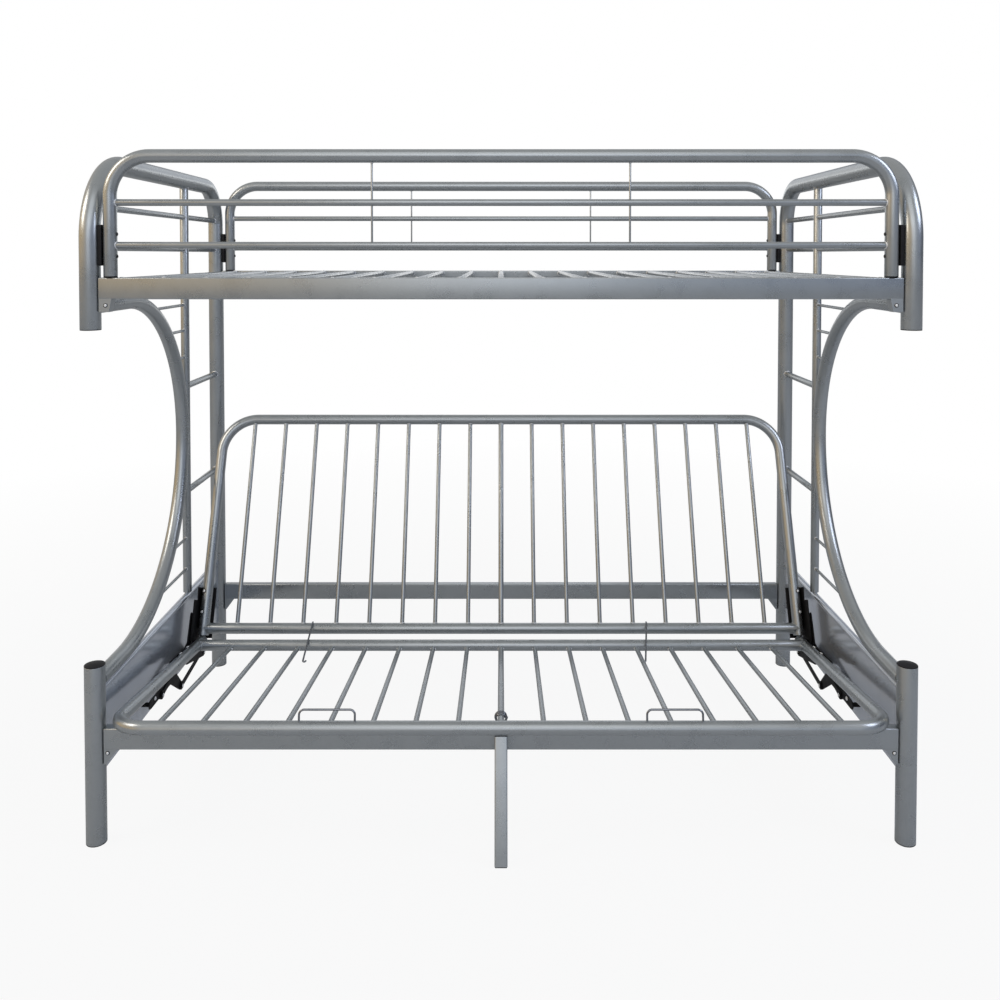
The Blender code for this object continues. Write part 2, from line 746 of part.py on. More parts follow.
def build_rails():
    """The four rectangular rails that tie the two ends together."""
    upper_bottom = UPPER_RAIL_TOP - RAIL_HEIGHT
    upper = mirrored_outline([
        (RAIL_END, UPPER_RAIL_TOP),
        (RAIL_END, upper_bottom - UPPER_TAB_DROP),
        (RAIL_END - UPPER_TAB_WIDTH, upper_bottom - UPPER_TAB_DROP),
        (RAIL_END - UPPER_TAB_WIDTH, upper_bottom),
    ])
    lower_bottom = LOWER_RAIL_TOP - RAIL_HEIGHT
    lower = mirrored_outline([
        (RAIL_END, LOWER_RAIL_TOP),
        (RAIL_END, lower_bottom - GUSSET_DROP),
        (RAIL_END - GUSSET_TOE, lower_bottom - GUSSET_DROP),
        (RAIL_END - GUSSET_REACH, lower_bottom),
    ])
    for place, depth in (("front", 0.0), ("rear", REAR_DEPTH)):
        rail_from_outline(f"upper_rail_{place}", upper, depth)
        rail_from_outline(f"lower_rail_{place}", lower, depth)


def build_upper_deck():
    """The slatted deck of the upper bunk: two runners with tubes welded between."""
    front = RAIL_THICKNESS / 2 + GAP
    rear = REAR_DEPTH - front
    slat_height = UPPER_RAIL_TOP - DECK_SLAT_RADIUS
    end_x = RAIL_END - RUNNER_END_CLEARANCE
    low = slat_height - RUNNER_HEIGHT / 2
    high = low + RUNNER_HEIGHT / 2 + DECK_SLAT_RADIUS / 2
    runners = [
        ((-end_x, front, low), (end_x, front + RUNNER_THICKNESS, high)),
        ((-end_x, rear - RUNNER_THICKNESS, low), (end_x, rear, high)),
    ]
    deck = boxes("upper_deck", runners, SILVER)
    start = front + RUNNER_THICKNESS / 2
    end = rear - RUNNER_THICKNESS / 2
    pitch = (end_x - DECK_LAST_SLAT_INSET) / DECK_SLATS_EACH_SIDE
    slats = []
    for number in range(-DECK_SLATS_EACH_SIDE, DECK_SLATS_EACH_SIDE + 1):
        x = number * pitch
        slats.append(((x, start, slat_height), (x, end, slat_height), DECK_SLAT_RADIUS))
    add_boolean(deck, rods("upper_deck_slats", slats, None, sides=SLAT_SIDES), "UNION")


def build_guard_rail(place, depth):
    """One guard rail: a bent tube with bars and two thin uprights, and its plugs."""
    bottom = UPPER_RAIL_TOP + GAP + GUARD_PLUG_LIP + GAP
    top = GUARD_TOP - GUARD_RADIUS
    corners = [
        (-GUARD_X, depth, bottom),
        (-GUARD_X, depth, top),
        (GUARD_X, depth, top),
        (GUARD_X, depth, bottom),
    ]
    path = rounded_path(corners, (GUARD_BEND_RADIUS, GUARD_BEND_RADIUS))
    guard = mesh_tube(f"guard_rail_{place}", path, GUARD_RADIUS, SILVER)
    heights = [UPPER_RAIL_TOP + rise for rise in GUARD_BAR_RISES]
    bars = [((-GUARD_X, depth, z), (GUARD_X, depth, z), GUARD_BAR_RADIUS) for z in heights]
    add_boolean(guard, rods(f"guard_bars_{place}", bars, None, sides=SLAT_SIDES), "UNION")
    wires = []
    for sign in SIDES.values():
        x = sign * GUARD_X * GUARD_WIRE_SHARE
        wires.append(((x, depth, min(heights)), (x, depth, top), GUARD_WIRE_RADIUS))
    add_boolean(guard, rods(f"guard_wires_{place}", wires, None, sides=SLAT_SIDES), "UNION")
    for side, sign in SIDES.items():
        x = sign * GUARD_X
        end = (x, depth, bottom)
        cut_socket(guard, end, (0.0, 0.0, 1.0), GUARD_RADIUS, GUARD_WALL, GUARD_PLUG_STEM)
        seat = (x, depth, UPPER_RAIL_TOP + GAP)
        plug_sizes = (GUARD_RADIUS, GUARD_WALL, GUARD_PLUG_LIP, GUARD_PLUG_STEM)
        tube_plug(f"guard_plug_{place}_{side}", seat, *plug_sizes)
        half_thickness = SPACER_THICKNESS / 2
        half_depth = SPACER_DEPTH / 2
        middle = sign * SPACER_X
        low_corner = (middle - half_thickness, depth - half_depth, SPACER_BOTTOM)
        high_corner = (middle + half_thickness, depth + half_depth, SPACER_BOTTOM + SPACER_HEIGHT)
        boxes(f"guard_spacer_{place}_{side}", [(low_corner, high_corner)], BLACK_PLASTIC)


def build_centre_leg():
    """The leaning middle leg, with its top plug and the shoe that it stands on."""
    up = Vector((0.0, math.sin(LEG_LEAN), math.cos(LEG_LEAN)))
    top = Vector((0.0, LEG_TOP_DEPTH, LEG_TOP))
    pivot = new_empty("centre_leg_top", top, ROOT, -LEG_LEAN)
    length = LEG_TOP / math.cos(LEG_LEAN) + LEG_DEPTH
    half_width = LEG_WIDTH / 2
    half_depth = LEG_DEPTH / 2
    low = (-half_width, -half_depth, -length)
    leg = boxes("centre_leg", [(low, (half_width, half_depth, 0.0))], SILVER, pivot)
    ground = (-LEG_WIDTH, LEG_FOOT_DEPTH - length, -length)
    floor_cut = (LEG_WIDTH, LEG_FOOT_DEPTH + length, LEG_SHOE_HEIGHT + GAP)
    add_boolean(leg, boxes("centre_leg_floor_cut", [(ground, floor_cut)], None), "DIFFERENCE")
    inner_width = half_width - LEG_WALL
    inner_depth = half_depth - LEG_WALL
    socket_low = (-inner_width, -inner_depth, -LEG_PLUG_STEM - GAP)
    socket_high = (inner_width, inner_depth, OVERRUN)
    socket = boxes("centre_leg_socket", [(socket_low, socket_high)], None, pivot)
    add_boolean(leg, socket, "DIFFERENCE")
    plug_low = (-half_width, -half_depth, GAP)
    plug_high = (half_width, half_depth, GAP + LEG_PLUG_LIP)
    plug = boxes("centre_leg_plug", [(plug_low, plug_high)], BLACK_PLASTIC, pivot)
    stem_low = (GAP - inner_width, GAP - inner_depth, -LEG_PLUG_STEM)
    stem_high = (inner_width - GAP, inner_depth - GAP, GAP + LEG_PLUG_LIP / 2)
    stem = boxes("centre_leg_plug_stem", [(stem_low, stem_high)], None, pivot)
    add_boolean(plug, stem, "UNION")
    shoe_top = LEG_FOOT_DEPTH + up.y / up.z * LEG_SHOE_HEIGHT
    shoe_front = min(LEG_FOOT_DEPTH, shoe_top) - LEG_FOOT_HALF_DEPTH
    shoe_rear = shoe_top + LEG_FOOT_HALF_DEPTH
    shoe_low = (-half_width, shoe_front, 0.0)
    shoe_high = (half_width, shoe_rear, LEG_SHOE_HEIGHT)
    boxes("centre_leg_shoe", [(shoe_low, shoe_high)], BLACK_PLASTIC)


def build_futon_frame(name, pivot, toward, reach, inner, tail, corner, slat_rise):
    """A U-shaped tube closed by a cross tube, with slats between, in its hinge's frame.

    toward is -1 where the frame runs forward from the hinge and 1 where it runs back.
    """
    z = HINGE_DROP
    corners = [
        (-FUTON_SIDE_X, toward * tail, z),
        (-FUTON_SIDE_X, toward * reach, z),
        (FUTON_SIDE_X, toward * reach, z),
        (FUTON_SIDE_X, toward * tail, z),
    ]
    path = rounded_path(corners, (corner, corner))
    frame = mesh_tube(name, path, FUTON_TUBE_RADIUS, SILVER, pivot, THICK_RESOLUTION)
    near = toward * inner
    cross_ends = ((-FUTON_SIDE_X, near, z), (FUTON_SIDE_X, near, z))
    cross = rods(f"{name}_cross_tube", [(*cross_ends, FUTON_TUBE_RADIUS)], None, pivot)
    add_boolean(frame, cross, "UNION")
    slats = []
    slat_z = z + slat_rise
    for number in range(1 - SLAT_GAPS_EACH_SIDE, SLAT_GAPS_EACH_SIDE):
        x = number * SLAT_PITCH
        radius = SLAT_RADIUS if number else CENTRE_SLAT_RADIUS
        slats.append(((x, near, slat_z), (x, toward * reach, slat_z), radius))
    operand = rods(f"{name}_slats", slats, None, pivot, sides=SLAT_SIDES)
    add_boolean(frame, operand, "UNION")
    return frame


def build_mattress_stops(pivot):
    """Two wire hoops on the seat's front tube that keep the mattress from sliding."""
    base = HINGE_DROP + FUTON_TUBE_RADIUS + GAP
    for side, sign in SIDES.items():
        x = sign * STOP_PITCHES_OUT * SLAT_PITCH
        low_x = x - STOP_WIDTH / 2
        high_x = x + STOP_WIDTH / 2
        corners = [
            (low_x, -SEAT_REACH, base),
            (low_x, -SEAT_REACH, base + STOP_HEIGHT),
            (high_x, -SEAT_REACH, base + STOP_HEIGHT),
            (high_x, -SEAT_REACH, base),
        ]
        path = rounded_path(corners, (STOP_CORNER, STOP_CORNER))
        name = f"mattress_stop_{side}"
        tube(name, path, STOP_WIRE_RADIUS, BRIGHT_WIRE, pivot, WIRE_RESOLUTION)


def build_hooks(pivot):
    """Two wire hooks that catch the back's lower tube and lie on the seat's rear tube.

    The shank runs straight on past the seat's tube and ends in a half-round curl.
    """
    grip = FUTON_TUBE_RADIUS + GAP + HOOK_WIRE_RADIUS
    rear_tube = (-SEAT_REAR_TUBE, HINGE_DROP)
    back_tube = rotated((BACK_LOW_TUBE, HINGE_DROP), BACK_ANGLE + SEAT_TILT)
    slope = direction_angle(minus(back_tube, rear_tube))
    tangent = slope + QUARTER_TURN
    catch = []
    for step in range(ARC_STEPS + 1):
        angle = tangent + (HOOK_HIGH_END - tangent) * step / ARC_STEPS
        catch.append(plus(back_tube, rotated((grip, 0.0), angle)))
    for side, share in HOOK_TOP_SHARES.items():
        top_x = share * FUTON_SIDE_X
        low_x = HOOK_LOW_SHARES[side] * FUTON_SIDE_X
        curl = -math.copysign(HOOK_CURL_RADIUS, low_x)
        path = []
        for step in range(ARC_STEPS + 1):
            angle = 2 * QUARTER_TURN * (1 - step / ARC_STEPS)
            beyond = HOOK_OVERHANG + HOOK_CURL_RADIUS * math.sin(angle)
            depth, height = plus(rear_tube, rotated((-beyond, grip), slope))
            path.append(Vector((low_x + curl * (1 - math.cos(angle)), depth, height)))
        for depth, height in catch:
            path.append(Vector((top_x, depth, height)))
        name = f"mattress_hook_{side}"
        tube(name, path, HOOK_WIRE_RADIUS, BRIGHT_WIRE, pivot, WIRE_RESOLUTION)


def ring_path():
    """Points of the wire ring: turns that open out from the centre slat as they advance."""
    first_radius = CENTRE_SLAT_RADIUS + GAP + RING_WIRE_RADIUS
    last_radius = RING_OUTER_RADIUS - RING_WIRE_RADIUS
    advance = 2 * RING_WIRE_RADIUS + RING_WIRE_GAP
    start = SEAT_REACH - FUTON_TUBE_RADIUS - GAP - RING_SETBACK
    centre_height = HINGE_DROP - SEAT_SLAT_DROP
    count = RING_TURNS * RING_POINTS_PER_TURN
    path = []
    for step in range(count + 1):
        share = step / count
        angle = 2 * math.pi * RING_TURNS * share
        radius = first_radius + (last_radius - first_radius) * share
        depth = -start + advance * RING_TURNS * share
        across, up = rotated((radius, 0.0), angle)
        path.append(Vector((across, depth, centre_height + up)))
    return path


def least_self_gap(path, wire_radius, skip):
    """Least gap between turns of a wire, measured between its points a turn apart."""
    least = math.inf
    for index, point in enumerate(path):
        for other in path[index + skip:]:
            least = min(least, (point - other).length - 2 * wire_radius)
    return least


def build_slat_ring(pivot):
    """The wire ring wound on the centre slat, a little behind the seat's front tube."""
    path = ring_path()
    tube("slat_ring", path, RING_WIRE_RADIUS, BRIGHT_WIRE, pivot, RING_RESOLUTION)
    skip = round(RING_POINTS_PER_TURN * RING_GAP_TURN_SHARE)
    gap = least_self_gap(path, RING_WIRE_RADIUS, skip)
    print(f"slat_ring least gap to itself: {gap * MM_PER_METRE:.2f} mm")


def build_seat_bracket(side, sign, pivot):
    """The seat's side bracket, with the hinge, both links' eyes and a skirt below the tube."""
    x = sign * SEAT_PLATE_X
    seat_eye = rotated(minus(SEAT_PIVOT, FOLD.hinge), SEAT_TILT)
    front_eye = rotated(minus(FRONT_SEAT_PIVOT, FOLD.hinge), SEAT_TILT)
    skirt = rotated(minus(BRACKET_SKIRT, FOLD.hinge), SEAT_TILT)
    bolts = [(-reach, HINGE_DROP) for reach in SEAT_BOLT_REACHES]
    circles = [((0.0, 0.0), HINGE_BOSS_RADIUS)]
    circles += [(eye, PIVOT_BOSS_RADIUS) for eye in (seat_eye, front_eye)]
    circles += [(point, BRACKET_EDGE_RADIUS) for point in (bolts[0], skirt)]
    tongue = [(bolt, BRACKET_EDGE_RADIUS) for bolt in bolts] + [(SEAT_NOSE, SEAT_NOSE_RADIUS)]
    name = f"seat_bracket_{side}"
    outlines = [hull_outline(circles), hull_outline(tongue)]
    bracket = joined_plate(name, outlines, x, BLACK_STEEL, pivot)
    cut_pin_hole(bracket, f"seat_bracket_hinge_hole_{side}", (0.0, 0.0), x, pivot)
    cut_pin_hole(bracket, f"seat_bracket_rocker_hole_{side}", seat_eye, x, pivot)


def build_back_bracket(side, sign, pivot):
    """The back's angle bracket: a stepped side plate, a flange behind the tube and a hinge pin."""
    x = sign * BACK_PLATE_X
    flange_front = HINGE_DROP - FUTON_TUBE_RADIUS - GAP
    flange_rear = flange_front - PLATE_THICKNESS
    flange_end = BACK_STRIP_FRONT[0] + BACK_CORNER_RADIUS
    outlines = []
    for front in (BACK_STRIP_FRONT, BACK_STEP_FRONT):
        rear = (front[0], flange_rear + BACK_CORNER_RADIUS)
        corners = [(corner, BACK_CORNER_RADIUS) for corner in (front, rear)]
        outlines.append(hull_outline([((0.0, 0.0), HINGE_BOSS_RADIUS), *corners]))
    step = [(corner, BACK_CORNER_RADIUS) for corner in (BACK_STEP_FRONT, BACK_STEP_LOW)]
    outlines.append(hull_outline([((0.0, 0.0), HINGE_BOSS_RADIUS), *step]))
    name = f"back_bracket_{side}"
    bracket = joined_plate(name, outlines, x, BLACK_STEEL, pivot)
    inner_x = sign * (FUTON_SIDE_X - FUTON_TUBE_RADIUS - BACK_FLANGE_LAP)
    tube_x = sign * (FUTON_SIDE_X + FUTON_TUBE_RADIUS)
    flanges = (
        ("flange", x, BACK_FLANGE_NECK, flange_end),
        ("lug", tube_x, BACK_FLANGE_LOW_END, BACK_FLANGE_NECK + PLATE_THICKNESS),
    )
    for label, outer_x, low_reach, high_reach in flanges:
        low = (min(inner_x, outer_x), low_reach, flange_rear)
        high = (max(inner_x, outer_x), high_reach, flange_front)
        add_boolean(bracket, boxes(f"{name}_{label}", [(low, high)], None, pivot), "UNION")
    inner = sign * (SEAT_PLATE_X - PLATE_THICKNESS / 2 - GAP)
    add_pin(bracket, f"{name}_hinge_pin", (0.0, 0.0), x, inner, -sign, pivot)


def build_rocker(side, sign):
    """The rear link that carries the seat over from the sofa pose to the bed pose."""
    name = f"rear_rocker_{side}"
    pivot = new_empty(f"{name}_pivot", (0.0, *BASE_PIVOT), ROOT)
    arm = minus(SEAT_PIVOT, BASE_PIVOT)
    x = sign * LINK_PLATE_X
    outlines = [
        hull_outline([((0.0, 0.0), LINK_HALF_WIDTH), (arm, LINK_HALF_WIDTH)]),
        hull_outline([((0.0, 0.0), PIVOT_BOSS_RADIUS)]),
        hull_outline([(arm, PIVOT_BOSS_RADIUS)]),
    ]
    rocker = joined_plate(name, outlines, x, BLACK_STEEL, pivot)
    cut_pin_hole(rocker, f"{name}_hole", (0.0, 0.0), x, pivot)
    inner = sign * (SEAT_PLATE_X - PLATE_THICKNESS / 2 - GAP)
    add_pin(rocker, f"{name}_seat_pin", arm, x, inner, -sign, pivot)


def build_front_link(side, sign):
    """The front link, parallel to the rocker, that keeps the seat level as it travels."""
    name = f"front_link_{side}"
    pivot = new_empty(f"{name}_pivot", (0.0, *FOLD.front_base), ROOT)
    arm = minus(FRONT_SEAT_PIVOT, FOLD.front_base)
    x = sign * LINK_PLATE_X
    outlines = [
        hull_outline([((0.0, 0.0), LINK_HALF_WIDTH), (arm, LINK_HALF_WIDTH)]),
        hull_outline([((0.0, 0.0), PIVOT_BOSS_RADIUS)]),
        hull_outline([(arm, PIVOT_BOSS_RADIUS)]),
    ]
    link = joined_plate(name, outlines, x, BLACK_STEEL, pivot)
    cut_pin_hole(link, f"{name}_hole", (0.0, 0.0), x, pivot)
    seat_face = sign * (SEAT_PLATE_X + PLATE_THICKNESS / 2 + GAP)
    stub = ((x, *arm), (seat_face, *arm), PIN_RADIUS)
    add_boolean(link, rods(f"{name}_stub", [stub], None, pivot), "UNION")


def build_base_plate(side, sign):
    """The fixed plate on the side panel that both links turn on."""
    name = f"mechanism_base_{side}"
    x = sign * BASE_PLATE_X
    outlines = [
        hull_outline([(BASE_ARM_END, BASE_ARM_RADIUS), (BASE_WEB_REAR, BASE_ARM_RADIUS)]),
        hull_outline([(BASE_ARM_BULGE, BASE_BULGE_RADIUS), (FOLD.front_base, PIVOT_BOSS_RADIUS)]),
        hull_outline([
            (BASE_WEB_FRONT, BASE_WEB_RADIUS),
            (BASE_WEB_REAR, BASE_ARM_RADIUS),
            (BASE_PIVOT, PIVOT_BOSS_RADIUS),
        ]),
        hull_outline([(BASE_WEB_FRONT, BASE_WEB_RADIUS), (BASE_HORN_FOOT, BASE_BAR_RADIUS)]),
        hull_outline([
            (BASE_HORN_FOOT, BASE_BAR_RADIUS),
            (BASE_HORN_REAR, BASE_BAR_RADIUS),
            (BASE_HORN_TIP, BASE_BAR_RADIUS),
        ]),
    ]
    base = joined_plate(name, outlines, x, BLACK_STEEL)
    for number, (depth, height) in enumerate(STANDOFF_PLACES):
        ends = ((x, depth, height), (sign * PANEL_FACE, depth, height))
        standoff = rods(f"{name}_standoff_{number}", [(*ends, STANDOFF_RADIUS)], None)
        add_boolean(base, standoff, "UNION")
    inner = sign * (LINK_PLATE_X - PLATE_THICKNESS / 2 - GAP)
    for label, place in (("rear", BASE_PIVOT), ("front", FOLD.front_base)):
        add_pin(base, f"{name}_{label}_pin", place, x, inner, -sign)


def build_futon():
    """The seat, the back, what they carry and the links that fold them."""
    seat_pivot = new_empty("seat_pivot", (0.0, *FOLD.hinge), ROOT, -SEAT_TILT)
    back_pivot = new_empty("back_pivot", (0.0, *FOLD.hinge), ROOT, BACK_ANGLE)
    seat_sizes = (SEAT_REACH, SEAT_REAR_TUBE, SEAT_TAIL, SEAT_CORNER, -SEAT_SLAT_DROP)
    build_futon_frame("seat_frame", seat_pivot, -1, *seat_sizes)
    back_sizes = (BACK_REACH, BACK_LOW_TUBE, BACK_TAIL, BACK_CORNER, 0.0)
    build_futon_frame("back_frame", back_pivot, 1, *back_sizes)
    build_mattress_stops(seat_pivot)
    build_hooks(seat_pivot)
    build_slat_ring(seat_pivot)
    for side, sign in SIDES.items():
        build_seat_bracket(side, sign, seat_pivot)
        build_back_bracket(side, sign, back_pivot)
        build_rocker(side, sign)
        build_front_link(side, sign)
        build_base_plate(side, sign)


def print_fold():
    """Print the pivots in world metres and the turns in degrees."""
    pivots = {
        "hinge": FOLD.hinge,
        "base pivot": BASE_PIVOT,
        "seat pivot": SEAT_PIVOT,
        "front base": FOLD.front_base,
    }
    for name, (depth, height) in pivots.items():
        print(f"{name}: y {depth - MIDDLE_DEPTH:.6f} z {height:.6f}")
    rocker = math.degrees(FOLD.rocker_turn)
    print(f"rocker turn {rocker:.4f}")
    seat = math.degrees(SEAT_TILT) - rocker
    print(f"seat turn on rocker {seat:.4f} ratio {seat / rocker:.6f}")
    back = -math.degrees(BACK_ANGLE + SEAT_TILT)
    print(f"back turn on seat {back:.4f} ratio {back / rocker:.6f}")
    front = math.degrees(FOLD.front_turn)
    print(f"front link turn {front:.4f} ratio {front / rocker:.6f}")
    print(f"middle depth {MIDDLE_DEPTH:.6f}, bed hinge depth {FOLD.bed_hinge[0]:.4f}")


def main():
    """Build the whole bed."""
    for side, sign in SIDES.items():
        build_end_frame(side, sign)
        build_front_post(side, sign)
        build_c_tube(side, sign)
        build_ladder(side, sign)
        build_side_panel(side, sign)
    build_rails()
    build_upper_deck()
    build_guard_rail("front", 0.0)
    build_guard_rail("rear", REAR_DEPTH)
    build_centre_leg()
    build_futon()
    print_fold()


main()
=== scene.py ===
"""Futon bunk bed: the finished surfaces, bolts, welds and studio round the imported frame.

Places are (x, depth, height) in metres. Depth is measured from the plane of the front
posts towards the rear, and the mesh builder turns it into the frame's own Y.
"""

import logging
import math
from dataclasses import dataclass
from enum import Enum

import bmesh
import bpy
import numpy as np
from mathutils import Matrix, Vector


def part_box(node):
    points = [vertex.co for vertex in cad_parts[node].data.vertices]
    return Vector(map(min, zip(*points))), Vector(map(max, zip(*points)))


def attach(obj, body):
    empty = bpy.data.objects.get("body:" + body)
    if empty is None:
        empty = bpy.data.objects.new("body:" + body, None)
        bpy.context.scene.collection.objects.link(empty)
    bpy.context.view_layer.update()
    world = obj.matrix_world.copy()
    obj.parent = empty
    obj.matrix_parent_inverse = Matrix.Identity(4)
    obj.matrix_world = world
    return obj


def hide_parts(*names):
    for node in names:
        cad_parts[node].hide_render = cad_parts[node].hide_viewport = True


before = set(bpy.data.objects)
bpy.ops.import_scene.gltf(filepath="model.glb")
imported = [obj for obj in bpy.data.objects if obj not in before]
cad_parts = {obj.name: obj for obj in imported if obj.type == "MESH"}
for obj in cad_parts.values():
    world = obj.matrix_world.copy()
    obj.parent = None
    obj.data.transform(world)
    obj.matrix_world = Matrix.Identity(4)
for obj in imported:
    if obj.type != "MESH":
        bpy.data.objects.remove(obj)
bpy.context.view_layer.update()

LOG = logging.getLogger("futon_bunk_bed")
TURN = 2 * math.pi
QUARTER_TURN = math.pi / 2
MERGE_DISTANCE = 0.000001
SHARP_ANGLE = math.radians(35)

RIGHTWARD = (1.0, 0.0, 0.0)
REARWARD = (0.0, 1.0, 0.0)
FORWARD = (0.0, -1.0, 0.0)
UPWARD = (0.0, 0.0, 1.0)
DOWNWARD = (0.0, 0.0, -1.0)

# Points round a section, fewer on what shows smaller.
POST_SIDES = 48
TUBE_SIDES = 40
STILE_SIDES = 36
RUNG_SIDES = 32
BAR_SIDES = 28
SLAT_SIDES = 24
PIN_SIDES = 20
WIRE_SIDES = 16

# Rounding of the cut end of a tube and of a thin bar, its steps, and the rings on the face
# inside it, as shares of the face's radius.
TUBE_EDGE = 0.0008
BAR_EDGE = 0.0005
EDGE_STEPS = 3
FACE_RINGS = (0.0, 0.96)

# Steps from the middle of a domed face to its rim, and round the rim of a plug's lip.
DOME_STEPS = 8
LIP_STEPS = 4

# The least cosine at which a slab's outline is moved inwards along a mitre.
LEAST_MITRE = 0.3

# A weld bead: its radius, its steps round the bar and round itself, its two swells as
# shares of the radius, and how far the swells turn from one bar to the next.
BEAD_RADIUS = 0.0016
BEAD_STEPS = (28, 8)
BEAD_SWELLS = (0.16, 0.08)
BEAD_PHASE = 2.1

# The edge of a plug's lip: its most, and its share of the lip.
PLUG_EDGE_MOST = 0.0012
PLUG_EDGE_SHARE = 0.6

# How a noise texture's detail falls off, and the span that most of its values lie in.
PATCH_NOISE = {"Detail": 3.0, "Roughness": 0.6}
GRAIN_NOISE = {"Detail": 2.0, "Roughness": 0.5}
NOISE_SPAN = (0.3, 0.7)
# Where the sum of both noises takes the dark and the light colour.
COLOUR_STOPS = (0.70, 1.0)


class Side(Enum):
    """An end of the bed, as seen from its front."""

    LEFT = "left"
    RIGHT = "right"

    @property
    def sign(self) -> int:
        """-1 on the left and 1 on the right."""
        return -1 if self is Side.LEFT else 1

    @property
    def inward(self) -> tuple[float, float, float]:
        """Unit direction from this end to the bed's middle."""
        return (-float(self.sign), 0.0, 0.0)


class Row(Enum):
    """The front or rear row of rails."""

    FRONT = "front"
    REAR = "rear"


class Half(Enum):
    """One of the two hinged frames of the futon."""

    SEAT = "seat"
    BACK = "back"


def front_plane() -> float:
    """World Y of the plane of the front posts' centre lines."""
    low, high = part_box("front_post_left")
    return (low.y + high.y) / 2


FRONT_Y = front_plane()


def linear_colour(hex_colour: str) -> tuple[float, float, float, float]:
    """Turn an sRGB hex colour into linear red, green, blue and alpha.

    Args:
        hex_colour: six hex digits, with or without a leading hash.

    Returns:
        Linear channels: s / 12.92 under 0.04045, else ((s + 0.055) / 1.055) to the power 2.4.
    """
    digits = hex_colour.lstrip("#")
    channels = np.array([int(digits[i : i + 2], 16) for i in (0, 2, 4)]) / 255
    linear = np.where(channels <= 0.04045, channels / 12.92, ((channels + 0.055) / 1.055) ** 2.4)
    return (*linear.tolist(), 1.0)


def fill_inputs(tree: bpy.types.NodeTree, node: bpy.types.Node, inputs: dict) -> None:
    """Give a node's inputs their values and links.

    Args:
        tree: the node tree that it is in.
        node: the node.
        inputs: a value or an output socket for each input, by its name or number.
    """
    for key, value in inputs.items():
        socket = node.inputs[key]
        if isinstance(value, bpy.types.NodeSocket):
            tree.links.new(value, socket)
        else:
            socket.default_value = value


def add_node(
    tree: bpy.types.NodeTree, kind: str, inputs: dict | None = None, **settings: str
) -> bpy.types.Node:
    """Add a shader node with its settings, values and links.

    Args:
        tree: the node tree to add to.
        kind: the node's Blender type.
        inputs: a value or an output socket for each input, by its name or number.
        settings: attributes to set on the node.

    Returns:
        The new node.
    """
    node = tree.nodes.new(kind)
    for name, value in settings.items():
        setattr(node, name, value)
    fill_inputs(tree, node, inputs or {})
    return node


@dataclass(frozen=True)
class Coat:
    """A finish whose colour, gloss and skin vary over a named real size."""

    name: str
    slot: str
    light_hex: str
    dark_hex: str
    metallic: float
    smooth_roughness: float
    rough_roughness: float
    patch_mm: float
    grain_mm: float
    grain_height_mm: float
    clear_coat: float = 0.0
    clear_coat_roughness: float = 0.1
    specular: float = 0.5

    def material(self) -> bpy.types.Material:
        """Build the material once and give it again on later calls.

        Returns:
            A Principled material. Broad noise at patch_mm moves the colour between the two
            hex values and the roughness between its two values, and fine noise at grain_mm
            raises the skin by grain_height_mm.
        """
        found = bpy.data.materials.get(self.name)
        if found:
            return found
        material = bpy.data.materials.new(self.name)
        material.use_nodes = True
        tree = material.node_tree
        place = add_node(tree, "ShaderNodeTexCoord").outputs["Object"]
        noises = (
            {"Vector": place, "Scale": 1000 / self.patch_mm, **PATCH_NOISE},
            {"Vector": place, "Scale": 1000 / self.grain_mm, **GRAIN_NOISE},
        )
        patch, grain = (add_node(tree, "ShaderNodeTexNoise", noise).outputs["Fac"] for noise in noises)
        mixed = add_node(tree, "ShaderNodeMath", {0: patch, 1: grain}, operation="ADD").outputs[0]
        colours = add_node(tree, "ShaderNodeValToRGB", {"Fac": mixed})
        for number, hex_colour in enumerate((self.dark_hex, self.light_hex)):
            stop = colours.color_ramp.elements[number]
            stop.position = COLOUR_STOPS[number]
            stop.color = linear_colour(hex_colour)
        gloss = {
            "Value": patch, "From Min": NOISE_SPAN[0], "From Max": NOISE_SPAN[1],
            "To Min": self.smooth_roughness, "To Max": self.rough_roughness,
        }
        skin = {"Height": grain, "Distance": self.grain_height_mm / 1000, "Strength": 1.0}
        finish = {
            "Base Color": colours.outputs["Color"],
            "Roughness": add_node(tree, "ShaderNodeMapRange", gloss).outputs["Result"],
            "Normal": add_node(tree, "ShaderNodeBump", skin).outputs["Normal"],
            "Metallic": self.metallic,
            "Specular IOR Level": self.specular,
            "Coat Weight": self.clear_coat,
            "Coat Roughness": self.clear_coat_roughness,
        }
        fill_inputs(tree, tree.nodes["Principled BSDF"], finish)
        return material


# Metallic powder coat on steel tube: satin, with a fine flake and a faint orange peel.
SILVER_COAT = Coat(
    name="metallic_powder_coat", slot="silver_paint", light_hex="#A5AAAD", dark_hex="#9A9FA2",
    metallic=0.85, smooth_roughness=0.25, rough_roughness=0.33,
    patch_mm=60.0, grain_mm=1.6, grain_height_mm=0.003,
)
# The same coat on flat rolled sheet, which comes out glossier and shows the room.
SHEET_COAT = Coat(
    name="glossy_coat_on_sheet", slot="panel_gloss", light_hex="#C6CDD8", dark_hex="#B4BBC6",
    metallic=0.70, smooth_roughness=0.14, rough_roughness=0.22,
    patch_mm=180.0, grain_mm=2.4, grain_height_mm=0.004, clear_coat=0.4, clear_coat_roughness=0.06,
)
# Painted-over weld bead, lumpy, in a colour far lighter than the silver: a painted highlight that makes each
# bead show as a bright dot.
WELD_HIGHLIGHT_COAT = Coat(
    name="weld_bead_painted_highlight", slot="silver_paint", light_hex="#E4E6E9", dark_hex="#B9BDC1",
    metallic=0.35, smooth_roughness=0.24, rough_roughness=0.36,
    patch_mm=8.0, grain_mm=0.9, grain_height_mm=0.08,
)
